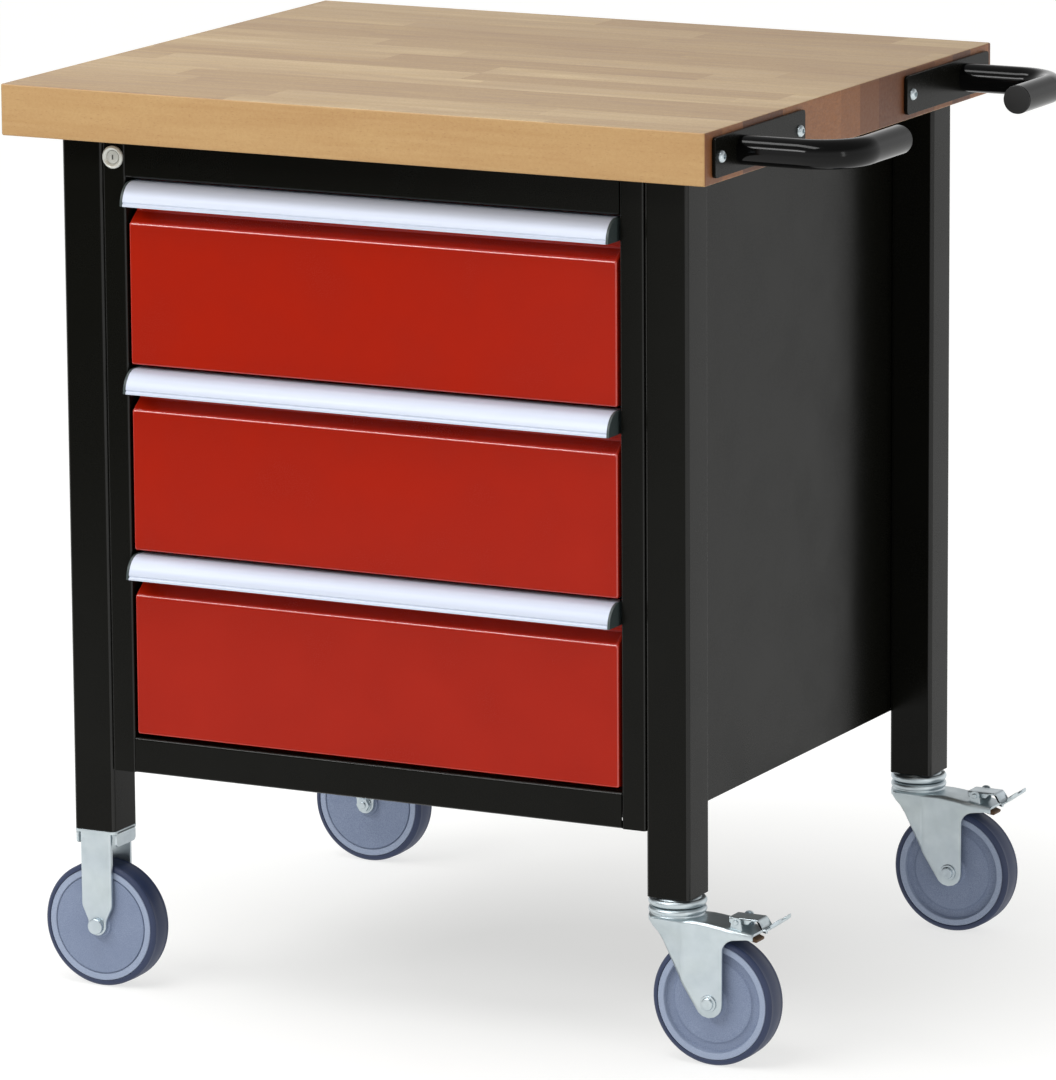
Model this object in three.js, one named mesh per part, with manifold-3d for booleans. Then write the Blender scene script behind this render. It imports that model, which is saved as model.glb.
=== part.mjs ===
// Mobile workbench: a solid wood worktop on four square steel legs, a sheet steel housing with three
// drawers between the legs, two fixed castors on the left, two braked swivel castors on the right and
// two push handles on the right end of the worktop.
// Millimetres, +Z up, front towards -Y. The origin is the middle of the bench's footprint, on the floor.
import * as THREE from "three";
import { mergeVertices } from "three/addons/utils/BufferGeometryUtils.js";
import Module from "manifold-3d";

const wasm = await Module();
wasm.setup();

// ---------- driving dimensions ----------
const BENCH_HEIGHT = 900;
const GAP = 0.3; // between pieces that touch
const WELD = 1; // how far two joined shapes run into each other
const SHEET = 1.5; // steel sheet of the housing and the drawer fronts

const WORKTOP_WIDTH = 750;
const WORKTOP_DEPTH = 650;
const WORKTOP_THICKNESS = 50;
const WORKTOP_EDGE = 2; // rounding of its edges

const LEG_SIZE = 45;
const LEG_WALL = 2.5;
const LEG_CORNER = 4;
const OVERHANG_SIDE = 40; // worktop past the legs, left and right
const OVERHANG_FRONT = 45;
const OVERHANG_REAR = 5;

const HOUSING_TO_LEG_END = 63; // the housing stops this far above the lower end of the legs
const POST_WIDTH = 25; // front flange of each housing side
const POST_LIP = 40; // lip behind the flange, which carries the slides
const TOP_RAIL = 40;
const BOTTOM_RAIL = 35;
const RAIL_FLANGE = 25;

const DRAWER_NAMES = ["bottom", "middle", "top"]; // lowest first
const FRONT_SIDE_GAP = 3; // between a drawer front and the posts
const FRONT_GAP = 4; // between one drawer front and the next
const FRONT_DEPTH = 18;
const FRONT_RECESS = 15; // the strip behind the pull stands this far back
const FRONT_SLOPE = 11.6; // height of the slope from the face back to the strip
const PULL_ZONE = 41; // height above the face that the slope, strip and pull take
const DRAWER_WALL = 1.2;
const DRAWER_REAR_GAP = 20; // between a drawer box and the tie behind it
const DRAWER_BOTTOM_GAP = 8; // box bottom above the lower edge of its front
const DRAWER_TOP_GAP = 34; // box rim below the upper edge of its front
const SLIDE_START = 20; // slides start this far behind the front of the housing

const SLIDE_DEPTH = 12.7; // both members, side wall to drawer
const SLIDE_HEIGHT = 45;
const SLIDE_RISE = 45; // slide centre above the box bottom
const SLIDE_CLEARANCE = 1; // between the two members
const SLIDE_LIP_GAP = 2.3; // between the cabinet member's lips and the drawer

const PULL_REACH = 17; // in front of the drawer face
const PULL_NOSE = 19; // depth of its rounded nose
const PULL_DROP = 22.4; // height of its rounded nose
const PULL_WALL = 2;
const PULL_FLANGE = 14; // height of the screwed flange against the strip
const PULL_CAP = 3; // room for the end cap at each end

const LOCK_RING_RADIUS = 11;
const LOCK_RING_DEPTH = 3.5;
const LOCK_BODY_RADIUS = 9;
const LOCK_BODY_LENGTH = 24;
const LOCK_PLUG_RADIUS = 6.2;
const LOCK_PLUG_RECESS = 0.8;
const LOCK_DROP = 21; // lock centre below the underside of the worktop
const KEYSLOT_DEPTH = 8;
const KEYSLOT_WIDTH = 1.6;
const KEYSLOT_HEIGHT = 6;
const CAM_REACH = 9.5;
const CAM_THICKNESS = 2.5;
const BAR_WIDTH = 12;
const BAR_THICKNESS = 3;
const TAB_HEIGHT = 10;
const TAB_GAP = 1.5; // tab above its catch, unlocked; the bar drops 8 when the lock turns a quarter
const TAB_ENGAGE = 4; // overlap of a tab and a drawer catch across the slide gap
const CATCH_HEIGHT = 10;
const CATCH_LENGTH = 6;
const CATCH_RISE = 5; // catch above the slide

const WHEEL_DIAMETER = 125;
const WHEEL_SEGMENTS = 24;
const TREAD_WIDTH = 30;
const TREAD_SHOULDER = 3.5;
const TYRE_THICKNESS = 6;
const HUB_INSET = 0.5; // hub rim behind the face of the tyre
const HUB_SLEEVE_RADIUS = 13;
const HUB_DISH = 5; // depth of the dish between the hub's rim and its sleeve
const HUB_RIM = 8;
const HUB_SLEEVE_TAPER = 2;
const CASTOR_HEAD = 35; // castor height above the top of its wheel
const FORK_GAP = 1.5; // between the hub's sleeve and the fork
const FORK_HALF = 19; // inside of a fork arm from the middle of the wheel
const FORK_WALL = 2.5;
const AXLE_RADIUS = 4;
const AXLE_HEAD_RADIUS = 7.5;
const AXLE_HEAD = 4.5;
const AXLE_HEX_RADIUS = 8;
const BRACKET_ARM = 34;
const BRACKET_END = 10; // radius round the axle
const BRACKET_OVERHANG = 0.5; // bracket plate past the leg on each side
const BRACKET_RIM = 16;
const SWIVEL_TRAIL = 42;
const RACE_RADIUS = 28;
const RACE_HEIGHT = 9;
const RACE_BEAD = 2;
const CROWN_THICKNESS = 3;
const CROWN_REACH = 44; // crown plate past the axle
const CROWN_CLEARANCE = 2.5; // between the tyre and the sides of the crown
const CROWN_TAIL_RISE = 2; // lower edge of the crown's sides, over their length
const FORK_RAKE = 22; // front edge of the fork arms ahead of the swivel axis
const FORK_END = 14; // radius round the axle
const PEDAL_WIDTH = 32;
const PEDAL_WALL = 2.5;
const PEDAL_TIP = 70; // tip past the axle
const PEDAL_PIVOT = 26; // pivot past the axle
const PEDAL_SADDLE = 12; // saddle in front of the pivot
const PEDAL_WEB = 3; // web behind the end of the crown
const PEDAL_TREAD = 15; // length of the sloping tread plate
const PEDAL_RISE = 8; // rise of its tip
const PEDAL_NOTCH = 10; // width of the notch between its two lobes
const PEDAL_NOTCH_DEPTH = 11;

const HANDLE_TUBE = 28;
const HANDLE_WALL = 2;
const HANDLE_REACH = 110; // tube axis from the end of the worktop
const HANDLE_BEND = 45; // bend radius on the tube axis
const HANDLE_PLATE_LENGTH = 195;
const HANDLE_PLATE_HEIGHT = 38;
const HANDLE_PLATE = 4;
const HANDLE_INSET = 14; // plate from the corner of the worktop
const HANDLE_ARM = 58; // tube axis from the outer end of the plate
const HANDLE_GRIP = 115; // grip end from the axis of the arm
const PLUG_DEPTH = 12;
const PLUG_CAP = 1.5;

// ---------- places worked out from them ----------
const WORKTOP_BOTTOM = BENCH_HEIGHT - WORKTOP_THICKNESS;
const WORKTOP_X = -(HANDLE_REACH + HANDLE_TUBE / 2) / 2;
const WORKTOP_END = WORKTOP_X + WORKTOP_WIDTH / 2;
const WHEEL_RADIUS = WHEEL_DIAMETER / 2;
const HUB_RADIUS = WHEEL_RADIUS - TYRE_THICKNESS;
const CASTOR_HEIGHT = WHEEL_DIAMETER + CASTOR_HEAD;
const LEG_X = WORKTOP_WIDTH / 2 - OVERHANG_SIDE - LEG_SIZE / 2; // leg centres from the middle of the worktop
const FRAME_FRONT = -WORKTOP_DEPTH / 2 + OVERHANG_FRONT;
const FRAME_REAR = WORKTOP_DEPTH / 2 - OVERHANG_REAR;
const LEG_FRONT_Y = FRAME_FRONT + LEG_SIZE / 2;
const LEG_REAR_Y = FRAME_REAR - LEG_SIZE / 2;

const HOUSING_HALF = LEG_X - LEG_SIZE / 2 - GAP;
const HOUSING_DEPTH = FRAME_REAR - FRAME_FRONT;
const HOUSING_TOP = WORKTOP_BOTTOM - GAP;
const HOUSING_BOTTOM = CASTOR_HEIGHT + HOUSING_TO_LEG_END;
const HOUSING_HEIGHT = HOUSING_TOP - HOUSING_BOTTOM;
const OPENING_HALF = HOUSING_HALF - POST_WIDTH;
const OPENING_BOTTOM = HOUSING_BOTTOM + BOTTOM_RAIL;
const OPENING_TOP = HOUSING_TOP - TOP_RAIL;

const DRAWER_PITCH = (OPENING_TOP - OPENING_BOTTOM - FRONT_SIDE_GAP) / DRAWER_NAMES.length;
const FRONT_WIDTH = 2 * (OPENING_HALF - FRONT_SIDE_GAP);
const FRONT_HEIGHT = DRAWER_PITCH - FRONT_GAP;
const FACE_HEIGHT = FRONT_HEIGHT - PULL_ZONE;
const BOX_WIDTH = 2 * (OPENING_HALF - SLIDE_DEPTH - 2 * GAP);
const BOX_HEIGHT = FRONT_HEIGHT - DRAWER_BOTTOM_GAP - DRAWER_TOP_GAP;
const BOX_FRONT = FRONT_DEPTH + GAP; // from the front of the housing
const BACK_FRONT = HOUSING_DEPTH - SHEET; // inner face of the back panel
const TIE_FRONT = BACK_FRONT - GAP - RAIL_FLANGE;
const BOX_BACK = TIE_FRONT - DRAWER_REAR_GAP;
const SLIDE_LENGTH = HOUSING_DEPTH - 2 * SLIDE_START;
const SLIDE_Z = DRAWER_BOTTOM_GAP + SLIDE_RISE; // from the lower edge of the drawer front
const CATCH_LOW = SLIDE_Z + SLIDE_HEIGHT / 2 + CATCH_RISE;
const CATCH_HIGH = CATCH_LOW + CATCH_HEIGHT;

const LOCK_X = -(OPENING_HALF + POST_WIDTH / 2);
const LOCK_Z = WORKTOP_BOTTOM - LOCK_DROP;
const CAM_Y = POST_LIP + CAM_THICKNESS / 2; // behind the front of the housing
const BAR_Y = CAM_Y + CAM_THICKNESS / 2 + GAP + BAR_THICKNESS / 2;
const CATCH_OUT = SLIDE_DEPTH / 2;

// ---------- helpers ----------
// A closed geometry as a manifold-3d solid.
function solid(geometry) {
  const loose = geometry.index ? geometry.toNonIndexed() : geometry;
  const bare = new THREE.BufferGeometry();
  bare.setAttribute("position", loose.getAttribute("position"));
  const merged = mergeVertices(bare, 1e-4);
  const vertProperties = merged.attributes.position.array;
  const triVerts = new Uint32Array(merged.index.array);
  return new wasm.Manifold(new wasm.Mesh({ numProp: 3, vertProperties, triVerts }));
}

// A manifold-3d solid as a geometry.
function geometryOf(body) {
  const mesh = body.getMesh();
  const geometry = new THREE.BufferGeometry();
  geometry.setAttribute("position", new THREE.BufferAttribute(mesh.vertProperties, 3));
  geometry.setIndex(new THREE.BufferAttribute(mesh.triVerts, 1));
  geometry.computeVertexNormals();
  return geometry;
}

function join(first, ...others) {
  return geometryOf(others.reduce((sum, other) => sum.add(solid(other)), solid(first)));
}

function cut(first, ...others) {
  return geometryOf(others.reduce((rest, other) => rest.subtract(solid(other)), solid(first)));
}

// A box from its lowest and highest corners.
function box(low, high) {
  const size = high.map((value, i) => value - low[i]);
  const middle = high.map((value, i) => (value + low[i]) / 2);
  return new THREE.BoxGeometry(...size).translate(...middle);
}

const AXES = {
  x: new THREE.Matrix4().makeBasis(
    new THREE.Vector3(0, 1, 0),
    new THREE.Vector3(0, 0, 1),
    new THREE.Vector3(1, 0, 0),
  ),
  y: new THREE.Matrix4().makeBasis(
    new THREE.Vector3(1, 0, 0),
    new THREE.Vector3(0, 0, 1),
    new THREE.Vector3(0, -1, 0),
  ),
  z: new THREE.Matrix4(),
};

// The outline's corners, without the doubled points where a curve meets a line.
function corners(outline, curveSegments) {
  const points = outline.getPoints(curveSegments);
  return points.filter((point, i) => point.distanceTo(points[(i + 1) % points.length]) > 1e-3);
}

// A flat outline extruded along x, y or z, centred on its plane. The outline's two coordinates are
// (y, z) along x, (x, z) along y and (x, y) along z. It is a shape, or a list of corners.
function prism(outline, length, axis, curveSegments = 6) {
  let shape;
  if (outline instanceof THREE.Shape) {
    shape = new THREE.Shape(corners(outline, curveSegments));
    shape.holes = outline.holes.map((hole) => new THREE.Path(corners(hole, curveSegments)));
  } else {
    shape = new THREE.Shape(outline.map(([a, b]) => new THREE.Vector2(a, b)));
  }
  const geometry = new THREE.ExtrudeGeometry(shape, { depth: length, bevelEnabled: false });
  return geometry.translate(0, 0, -length / 2).applyMatrix4(AXES[axis]);
}

function cylinder(radius, length, axis, segments = 24) {
  const geometry = new THREE.CylinderGeometry(radius, radius, length, segments);
  if (axis === "x") geometry.rotateZ(Math.PI / 2);
  if (axis === "z") geometry.rotateX(Math.PI / 2);
  return geometry;
}

function roundedRectangle(width, height, radius) {
  const shape = new THREE.Shape();
  const x = width / 2 - radius;
  const y = height / 2 - radius;
  shape.absarc(x, y, radius, 0, Math.PI / 2);
  shape.absarc(-x, y, radius, Math.PI / 2, Math.PI);
  shape.absarc(-x, -y, radius, Math.PI, 1.5 * Math.PI);
  shape.absarc(x, -y, radius, 1.5 * Math.PI, 2 * Math.PI);
  return shape;
}

// A channel of folded sheet: web at the front, flanges running back. (y, z) from its lower front edge.
function channel(height, flange, wall, length) {
  const outline = [
    [0, 0],
    [flange, 0],
    [flange, wall],
    [wall, wall],
    [wall, height - wall],
    [flange, height - wall],
    [flange, height],
    [0, height],
  ];
  return prism(outline, length, "x");
}

// ---------- materials ----------
function material(color, roughness, metalness) {
  return new THREE.MeshStandardMaterial({ color, roughness, metalness });
}

const beech = material(0xc9a271, 0.5, 0);
const blackPaint = material(0x171716, 0.45, 0.1);
const redPaint = material(0xac2616, 0.35, 0);
const aluminium = material(0xd3d4dc, 0.35, 0.9);
const zinc = material(0xc4ccd0, 0.3, 0.9);
const hubPlastic = material(0x9a9fb4, 0.6, 0);
const tyreRubber = material(0x39425f, 0.7, 0);
const blackPlastic = material(0x0c0c0c, 0.5, 0);

const bench = new THREE.Group();

function add(parent, name, geometry, finish, position = [0, 0, 0]) {
  const mesh = new THREE.Mesh(geometry, finish);
  mesh.name = name;
  mesh.position.set(...position);
  parent.add(mesh);
  return mesh;
}

function group(parent, position) {
  const made = new THREE.Group();
  made.position.set(...position);
  parent.add(made);
  return made;
}

// ---------- worktop ----------
function worktop() {
  const edge = WORKTOP_EDGE;
  const outline = roundedRectangle(WORKTOP_WIDTH - 2 * edge, WORKTOP_DEPTH - 2 * edge, edge);
  const geometry = new THREE.ExtrudeGeometry(outline, {
    depth: WORKTOP_THICKNESS - 2 * edge,
    bevelThickness: edge,
    bevelSize: edge,
    bevelSegments: 2,
    curveSegments: 2,
  });
  return geometry.translate(0, 0, edge);
}

add(bench, "worktop", worktop(), beech, [WORKTOP_X, 0, WORKTOP_BOTTOM]);

// ---------- legs ----------
const LEG_LENGTH = WORKTOP_BOTTOM - GAP - CASTOR_HEIGHT;

function leg() {
  const outline = roundedRectangle(LEG_SIZE, LEG_SIZE, LEG_CORNER);
  const bore = LEG_SIZE - 2 * LEG_WALL;
  outline.holes.push(roundedRectangle(bore, bore, LEG_CORNER - LEG_WALL));
  return prism(outline, LEG_LENGTH, "z", 2);
}

const CORNERS = [
  { name: "front_left", x: WORKTOP_X - LEG_X, y: LEG_FRONT_Y },
  { name: "front_right", x: WORKTOP_X + LEG_X, y: LEG_FRONT_Y },
  { name: "rear_left", x: WORKTOP_X - LEG_X, y: LEG_REAR_Y },
  { name: "rear_right", x: WORKTOP_X + LEG_X, y: LEG_REAR_Y },
];
for (const corner of CORNERS) {
  const middle = CASTOR_HEIGHT + LEG_LENGTH / 2;
  add(bench, "leg_" + corner.name, leg(), blackPaint, [corner.x, corner.y, middle]);
}

// ---------- housing: x from the middle of the worktop, y from the front of the legs ----------
const housing = group(bench, [WORKTOP_X, FRAME_FRONT, 0]);

// Folded side: lip, front flange, wall, rear flange and lip, seen from above. side is -1 left, 1 right.
function housingSide(side) {
  const inner = OPENING_HALF;
  const outer = HOUSING_HALF;
  const outline = [
    [inner, POST_LIP],
    [inner, 0],
    [outer, 0],
    [outer, HOUSING_DEPTH],
    [inner, HOUSING_DEPTH],
    [inner, HOUSING_DEPTH - POST_LIP],
    [inner + SHEET, HOUSING_DEPTH - POST_LIP],
    [inner + SHEET, HOUSING_DEPTH - SHEET],
    [outer - SHEET, HOUSING_DEPTH - SHEET],
    [outer - SHEET, SHEET],
    [inner + SHEET, SHEET],
    [inner + SHEET, POST_LIP],
  ];
  const sheet = prism(outline.map(([x, y]) => [side * x, y]), HOUSING_HEIGHT, "z");
  return sheet.translate(0, 0, HOUSING_BOTTOM + HOUSING_HEIGHT / 2);
}

const lockHole = cylinder(LOCK_BODY_RADIUS + GAP, 4 * SHEET, "y", 16).translate(LOCK_X, 0, LOCK_Z);
add(housing, "housing_side_left", cut(housingSide(-1), lockHole), blackPaint);
add(housing, "housing_side_right", housingSide(1), blackPaint);

const RAIL_LENGTH = 2 * (OPENING_HALF - GAP);
add(housing, "top_rail", channel(TOP_RAIL, RAIL_FLANGE, SHEET, RAIL_LENGTH), blackPaint, [0, 0, OPENING_TOP]);
add(housing, "bottom_rail", channel(BOTTOM_RAIL, RAIL_FLANGE, SHEET, RAIL_LENGTH), blackPaint, [
  0,
  0,
  HOUSING_BOTTOM,
]);
add(housing, "rear_tie", channel(TOP_RAIL, RAIL_FLANGE, SHEET, RAIL_LENGTH), blackPaint, [
  0,
  TIE_FRONT,
  OPENING_TOP,
]);
add(
  housing,
  "back_panel",
  box([-RAIL_LENGTH / 2, BACK_FRONT, HOUSING_BOTTOM], [RAIL_LENGTH / 2, HOUSING_DEPTH, HOUSING_TOP]),
  blackPaint,
);
const FLOOR_HALF = HOUSING_HALF - SHEET - GAP;
const FLOOR_FRONT = POST_LIP + GAP;
const FLOOR_REAR = HOUSING_DEPTH - FLOOR_FRONT;
add(
  housing,
  "floor_panel",
  box([-FLOOR_HALF, FLOOR_FRONT, HOUSING_BOTTOM], [FLOOR_HALF, FLOOR_REAR, HOUSING_BOTTOM + SHEET]),
  blackPaint,
);

// ---------- drawers: z from the lower edge of the front ----------
// Folded pan with a face, a slope back to the strip that carries the pull, and side and bottom returns.
function drawerFront() {
  const recess = FRONT_RECESS;
  const slopeTop = FACE_HEIGHT + FRONT_SLOPE;
  const shell = [
    [0, 0],
    [FRONT_DEPTH, 0],
    [FRONT_DEPTH, slopeTop],
    [recess + SHEET, slopeTop],
    [recess + SHEET, FRONT_HEIGHT],
    [recess, FRONT_HEIGHT],
    [recess, slopeTop],
    [0, FACE_HEIGHT],
  ];
  const hollow = [
    [SHEET, SHEET],
    [FRONT_DEPTH + WELD, SHEET],
    [FRONT_DEPTH + WELD, slopeTop - 2 * SHEET],
    [recess, slopeTop - 2 * SHEET],
    [SHEET, FACE_HEIGHT - SHEET],
  ];
  return cut(prism(shell, FRONT_WIDTH, "x"), prism(hollow, FRONT_WIDTH - 2 * SHEET, "x"));
}

// Open-topped box with a catch on its left side for the locking bar. y from the front of the housing.
function drawerBox() {
  const half = BOX_WIDTH / 2;
  const low = DRAWER_BOTTOM_GAP;
  const high = low + BOX_HEIGHT;
  const shell = box([-half, BOX_FRONT, low], [half, BOX_BACK, high]);
  const hollow = box(
    [-half + DRAWER_WALL, BOX_FRONT + DRAWER_WALL, low + DRAWER_WALL],
    [half - DRAWER_WALL, BOX_BACK - DRAWER_WALL, high + WELD],
  );
  const catchFront = BAR_Y + BAR_THICKNESS / 2 + GAP;
  const lug = box(
    [-half - CATCH_OUT, catchFront, CATCH_LOW],
    [-half + DRAWER_WALL / 2, catchFront + CATCH_LENGTH, CATCH_HIGH],
  );
  return join(cut(shell, hollow), lug);
}

// Extruded pull: flat top, rounded nose open underneath, and a flange screwed to the strip.
function drawerPull() {
  const top = FRONT_HEIGHT;
  const back = FRONT_RECESS - GAP;
  const noseBack = PULL_NOSE - PULL_REACH;
  const noseBottom = top - PULL_DROP;
  const wall = PULL_WALL;
  const shape = new THREE.Shape();
  shape.moveTo(back, top - PULL_FLANGE);
  shape.lineTo(back, top);
  shape.absellipse(noseBack, noseBottom, PULL_NOSE, PULL_DROP, Math.PI / 2, Math.PI);
  shape.absellipse(noseBack, noseBottom, PULL_NOSE - wall, PULL_DROP - wall, Math.PI, Math.PI / 2, true);
  shape.lineTo(back - wall, top - wall);
  shape.lineTo(back - wall, top - PULL_FLANGE);
  return prism(shape, FRONT_WIDTH - 2 * PULL_CAP, "x", 6);
}

// Cabinet member of a slide, open towards the drawer. x runs from the drawer's side outwards.
function slideRail(side) {
  const outer = SLIDE_DEPTH;
  const inner = SLIDE_LIP_GAP;
  const half = SLIDE_HEIGHT / 2;
  const outline = [
    [outer, -half],
    [outer, half],
    [inner, half],
    [inner, half - SHEET],
    [outer - SHEET, half - SHEET],
    [outer - SHEET, -half + SHEET],
    [inner, -half + SHEET],
    [inner, -half],
  ];
  return prism(outline.map(([x, z]) => [side * x, z]), SLIDE_LENGTH, "y");
}

// Drawer member of a slide, which runs inside the cabinet member.
function slideRunner(side) {
  const outer = SLIDE_DEPTH - SHEET - SLIDE_CLEARANCE;
  const half = SLIDE_HEIGHT / 2 - SHEET - SLIDE_CLEARANCE;
  const outline = [
    [0, -half],
    [0, half],
    [outer, half],
    [outer, half - SHEET],
    [SHEET, half - SHEET],
    [SHEET, -half + SHEET],
    [outer, -half + SHEET],
    [outer, -half],
  ];
  return prism(outline.map(([x, z]) => [side * x, z]), SLIDE_LENGTH, "y");
}

DRAWER_NAMES.forEach((name, i) => {
  const drawer = group(housing, [0, 0, OPENING_BOTTOM + FRONT_GAP + i * DRAWER_PITCH]);
  add(drawer, "drawer_front_" + name, drawerFront(), redPaint);
  add(drawer, "drawer_box_" + name, drawerBox(), redPaint);
  add(drawer, "drawer_pull_" + name, drawerPull(), aluminium);
  for (const [sideName, side] of [
    ["left", -1],
    ["right", 1],
  ]) {
    const x = side * (BOX_WIDTH / 2 + GAP);
    const place = [x, HOUSING_DEPTH / 2, SLIDE_Z];
    add(drawer, "slide_rail_" + name + "_" + sideName, slideRail(side), zinc, place);
    add(drawer, "slide_runner_" + name + "_" + sideName, slideRunner(side), zinc, place);
  }
});

// ---------- central lock ----------
function lockHousing() {
  const start = -GAP - LOCK_RING_DEPTH / 2;
  const ring = cylinder(LOCK_RING_RADIUS, LOCK_RING_DEPTH, "y", 24).translate(0, start, 0);
  const length = LOCK_BODY_LENGTH - start;
  const body = cylinder(LOCK_BODY_RADIUS, length, "y", 16).translate(0, start + length / 2, 0);
  const bore = cylinder(LOCK_PLUG_RADIUS + GAP, 4 * LOCK_BODY_LENGTH, "y", 16);
  return cut(join(ring, body), bore);
}

// The turning plug with its keyslot, its tail and the cam on the end of the tail.
function lockPlug() {
  const front = -GAP - LOCK_RING_DEPTH + LOCK_PLUG_RECESS;
  const back = CAM_Y + CAM_THICKNESS / 2;
  const plug = cylinder(LOCK_PLUG_RADIUS, back - front, "y", 16).translate(0, (front + back) / 2, 0);
  const slot = box(
    [-KEYSLOT_WIDTH / 2, front - WELD, -KEYSLOT_HEIGHT / 2],
    [KEYSLOT_WIDTH / 2, front + KEYSLOT_DEPTH, KEYSLOT_HEIGHT / 2],
  );
  const cam = box(
    [0, CAM_Y - CAM_THICKNESS / 2, -LOCK_PLUG_RADIUS / 2],
    [CAM_REACH, CAM_Y + CAM_THICKNESS / 2, LOCK_PLUG_RADIUS / 2],
  );
  return cut(join(plug, cam), slot);
}

// Flat bar behind the cam with one tab above each drawer's catch.
function lockingBar() {
  const catchTops = DRAWER_NAMES.map((_, i) => OPENING_BOTTOM + FRONT_GAP + i * DRAWER_PITCH + CATCH_HIGH);
  const front = BAR_Y - BAR_THICKNESS / 2;
  const back = BAR_Y + BAR_THICKNESS / 2;
  const low = catchTops[0] + TAB_GAP;
  const bar = box([LOCK_X - BAR_WIDTH / 2, front, low], [LOCK_X + BAR_WIDTH / 2, back, LOCK_Z]);
  const tabEnd = -BOX_WIDTH / 2 - CATCH_OUT + TAB_ENGAGE;
  const tabs = catchTops.map((top) =>
    box([LOCK_X, front, top + TAB_GAP], [tabEnd, back, top + TAB_GAP + TAB_HEIGHT]),
  );
  return join(bar, ...tabs);
}

add(housing, "lock_housing", lockHousing(), zinc, [LOCK_X, 0, LOCK_Z]);
add(housing, "lock_plug", lockPlug(), zinc, [LOCK_X, 0, LOCK_Z]);
add(housing, "locking_bar", lockingBar(), zinc);

// ---------- castors: x and y from the middle of the leg, z from the floor ----------
const FORK_OUT = FORK_HALF + FORK_WALL;
// A wheel rests on the flats between its vertices, so its vertices lie a little outside its radius.
const FLAT = 1 / Math.cos(Math.PI / WHEEL_SEGMENTS);

// A ring turned about Y from (radius, y) points.
function turned(points) {
  const profile = [...points, points[0]].map(([radius, y]) => new THREE.Vector2(radius, y));
  return new THREE.LatheGeometry(profile, WHEEL_SEGMENTS, Math.PI / WHEEL_SEGMENTS);
}

function hub() {
  const sleeve = FORK_HALF - FORK_GAP;
  const rim = TREAD_WIDTH / 2 - HUB_INSET;
  const half = [
    [HUB_RADIUS, rim],
    [HUB_RADIUS - HUB_RIM, rim],
    [HUB_RADIUS - HUB_RIM - HUB_DISH / 2, rim - HUB_DISH],
    [HUB_SLEEVE_RADIUS + HUB_SLEEVE_TAPER, rim - HUB_DISH],
    [HUB_SLEEVE_RADIUS, sleeve],
    [AXLE_RADIUS + GAP, sleeve],
  ];
  const mirrored = half.map(([radius, y]) => [radius, -y]).reverse();
  return turned([...mirrored, ...half]);
}

function tyre() {
  const half = TREAD_WIDTH / 2;
  const outer = WHEEL_RADIUS * FLAT;
  const inner = HUB_RADIUS * FLAT + GAP;
  return turned([
    [inner, -half],
    [outer - TREAD_SHOULDER / 2, -half],
    [outer, -half + TREAD_SHOULDER],
    [outer, half - TREAD_SHOULDER],
    [outer - TREAD_SHOULDER / 2, half],
    [inner, half],
  ]);
}

// Bolt along Y with a round head in front and a nut behind, or the other way round.
function axle(headSide) {
  const shank = cylinder(AXLE_RADIUS, 2 * FORK_OUT + 2 * AXLE_HEAD, "y", 16);
  const seat = FORK_OUT + GAP + AXLE_HEAD / 2;
  const head = cylinder(AXLE_HEAD_RADIUS, AXLE_HEAD, "y", 16).translate(0, headSide * seat, 0);
  const nut = cylinder(AXLE_HEX_RADIUS, AXLE_HEAD, "y", 6).translate(0, -headSide * seat, 0);
  return join(shank, head, nut);
}

function axleHole(x) {
  return cylinder(AXLE_RADIUS + GAP, 4 * FORK_OUT, "y", 16).translate(x, 0, WHEEL_RADIUS);
}

// One fork arm on each side of the wheel from an outline in (x, z).
function forkArms(outline) {
  const middle = FORK_HALF + FORK_WALL / 2;
  return [-1, 1].map((side) => prism(outline, FORK_WALL, "y", 8).translate(0, side * middle, 0));
}

// Fixed castor bracket: a square top with turned-down rims and two straight arms.
function fixedBracket() {
  const top = CASTOR_HEIGHT - GAP;
  const arm = new THREE.Shape();
  const half = BRACKET_ARM / 2;
  arm.moveTo(-half, top - WELD);
  arm.lineTo(-half, WHEEL_RADIUS + half);
  arm.absarc(0, WHEEL_RADIUS, BRACKET_END, Math.PI, 2 * Math.PI);
  arm.lineTo(half, WHEEL_RADIUS + half);
  arm.lineTo(half, top - WELD);
  const side = LEG_SIZE + 2 * BRACKET_OVERHANG;
  const plate = prism(roundedRectangle(side, side, LEG_CORNER), CROWN_THICKNESS, "z", 3);
  plate.translate(0, 0, top - CROWN_THICKNESS / 2);
  const edge = side / 2;
  const rims = [-1, 1].map((side) => {
    const rim = box([edge - FORK_WALL, -half, top - BRACKET_RIM], [edge, half, top - WELD]);
    return side > 0 ? rim : rim.rotateZ(Math.PI);
  });
  return cut(join(plate, ...forkArms(arm), ...rims), axleHole(0));
}

// Upper race of a swivel castor, bolted into the leg.
function swivelHead() {
  const top = CASTOR_HEIGHT - GAP;
  const profile = [
    [0, top - RACE_HEIGHT],
    [RACE_RADIUS - RACE_BEAD, top - RACE_HEIGHT],
    [RACE_RADIUS, top - RACE_HEIGHT + RACE_BEAD],
    [RACE_RADIUS, top - RACE_BEAD],
    [RACE_RADIUS - RACE_BEAD, top],
    [0, top],
  ];
  const points = profile.map(([radius, z]) => new THREE.Vector2(radius, z));
  return new THREE.LatheGeometry(points, 28).rotateX(Math.PI / 2);
}

const CROWN_TOP = CASTOR_HEIGHT - GAP - 2 * RACE_HEIGHT - GAP; // under the lower race
const CROWN_UNDER = WHEEL_DIAMETER + CROWN_CLEARANCE;

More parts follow.
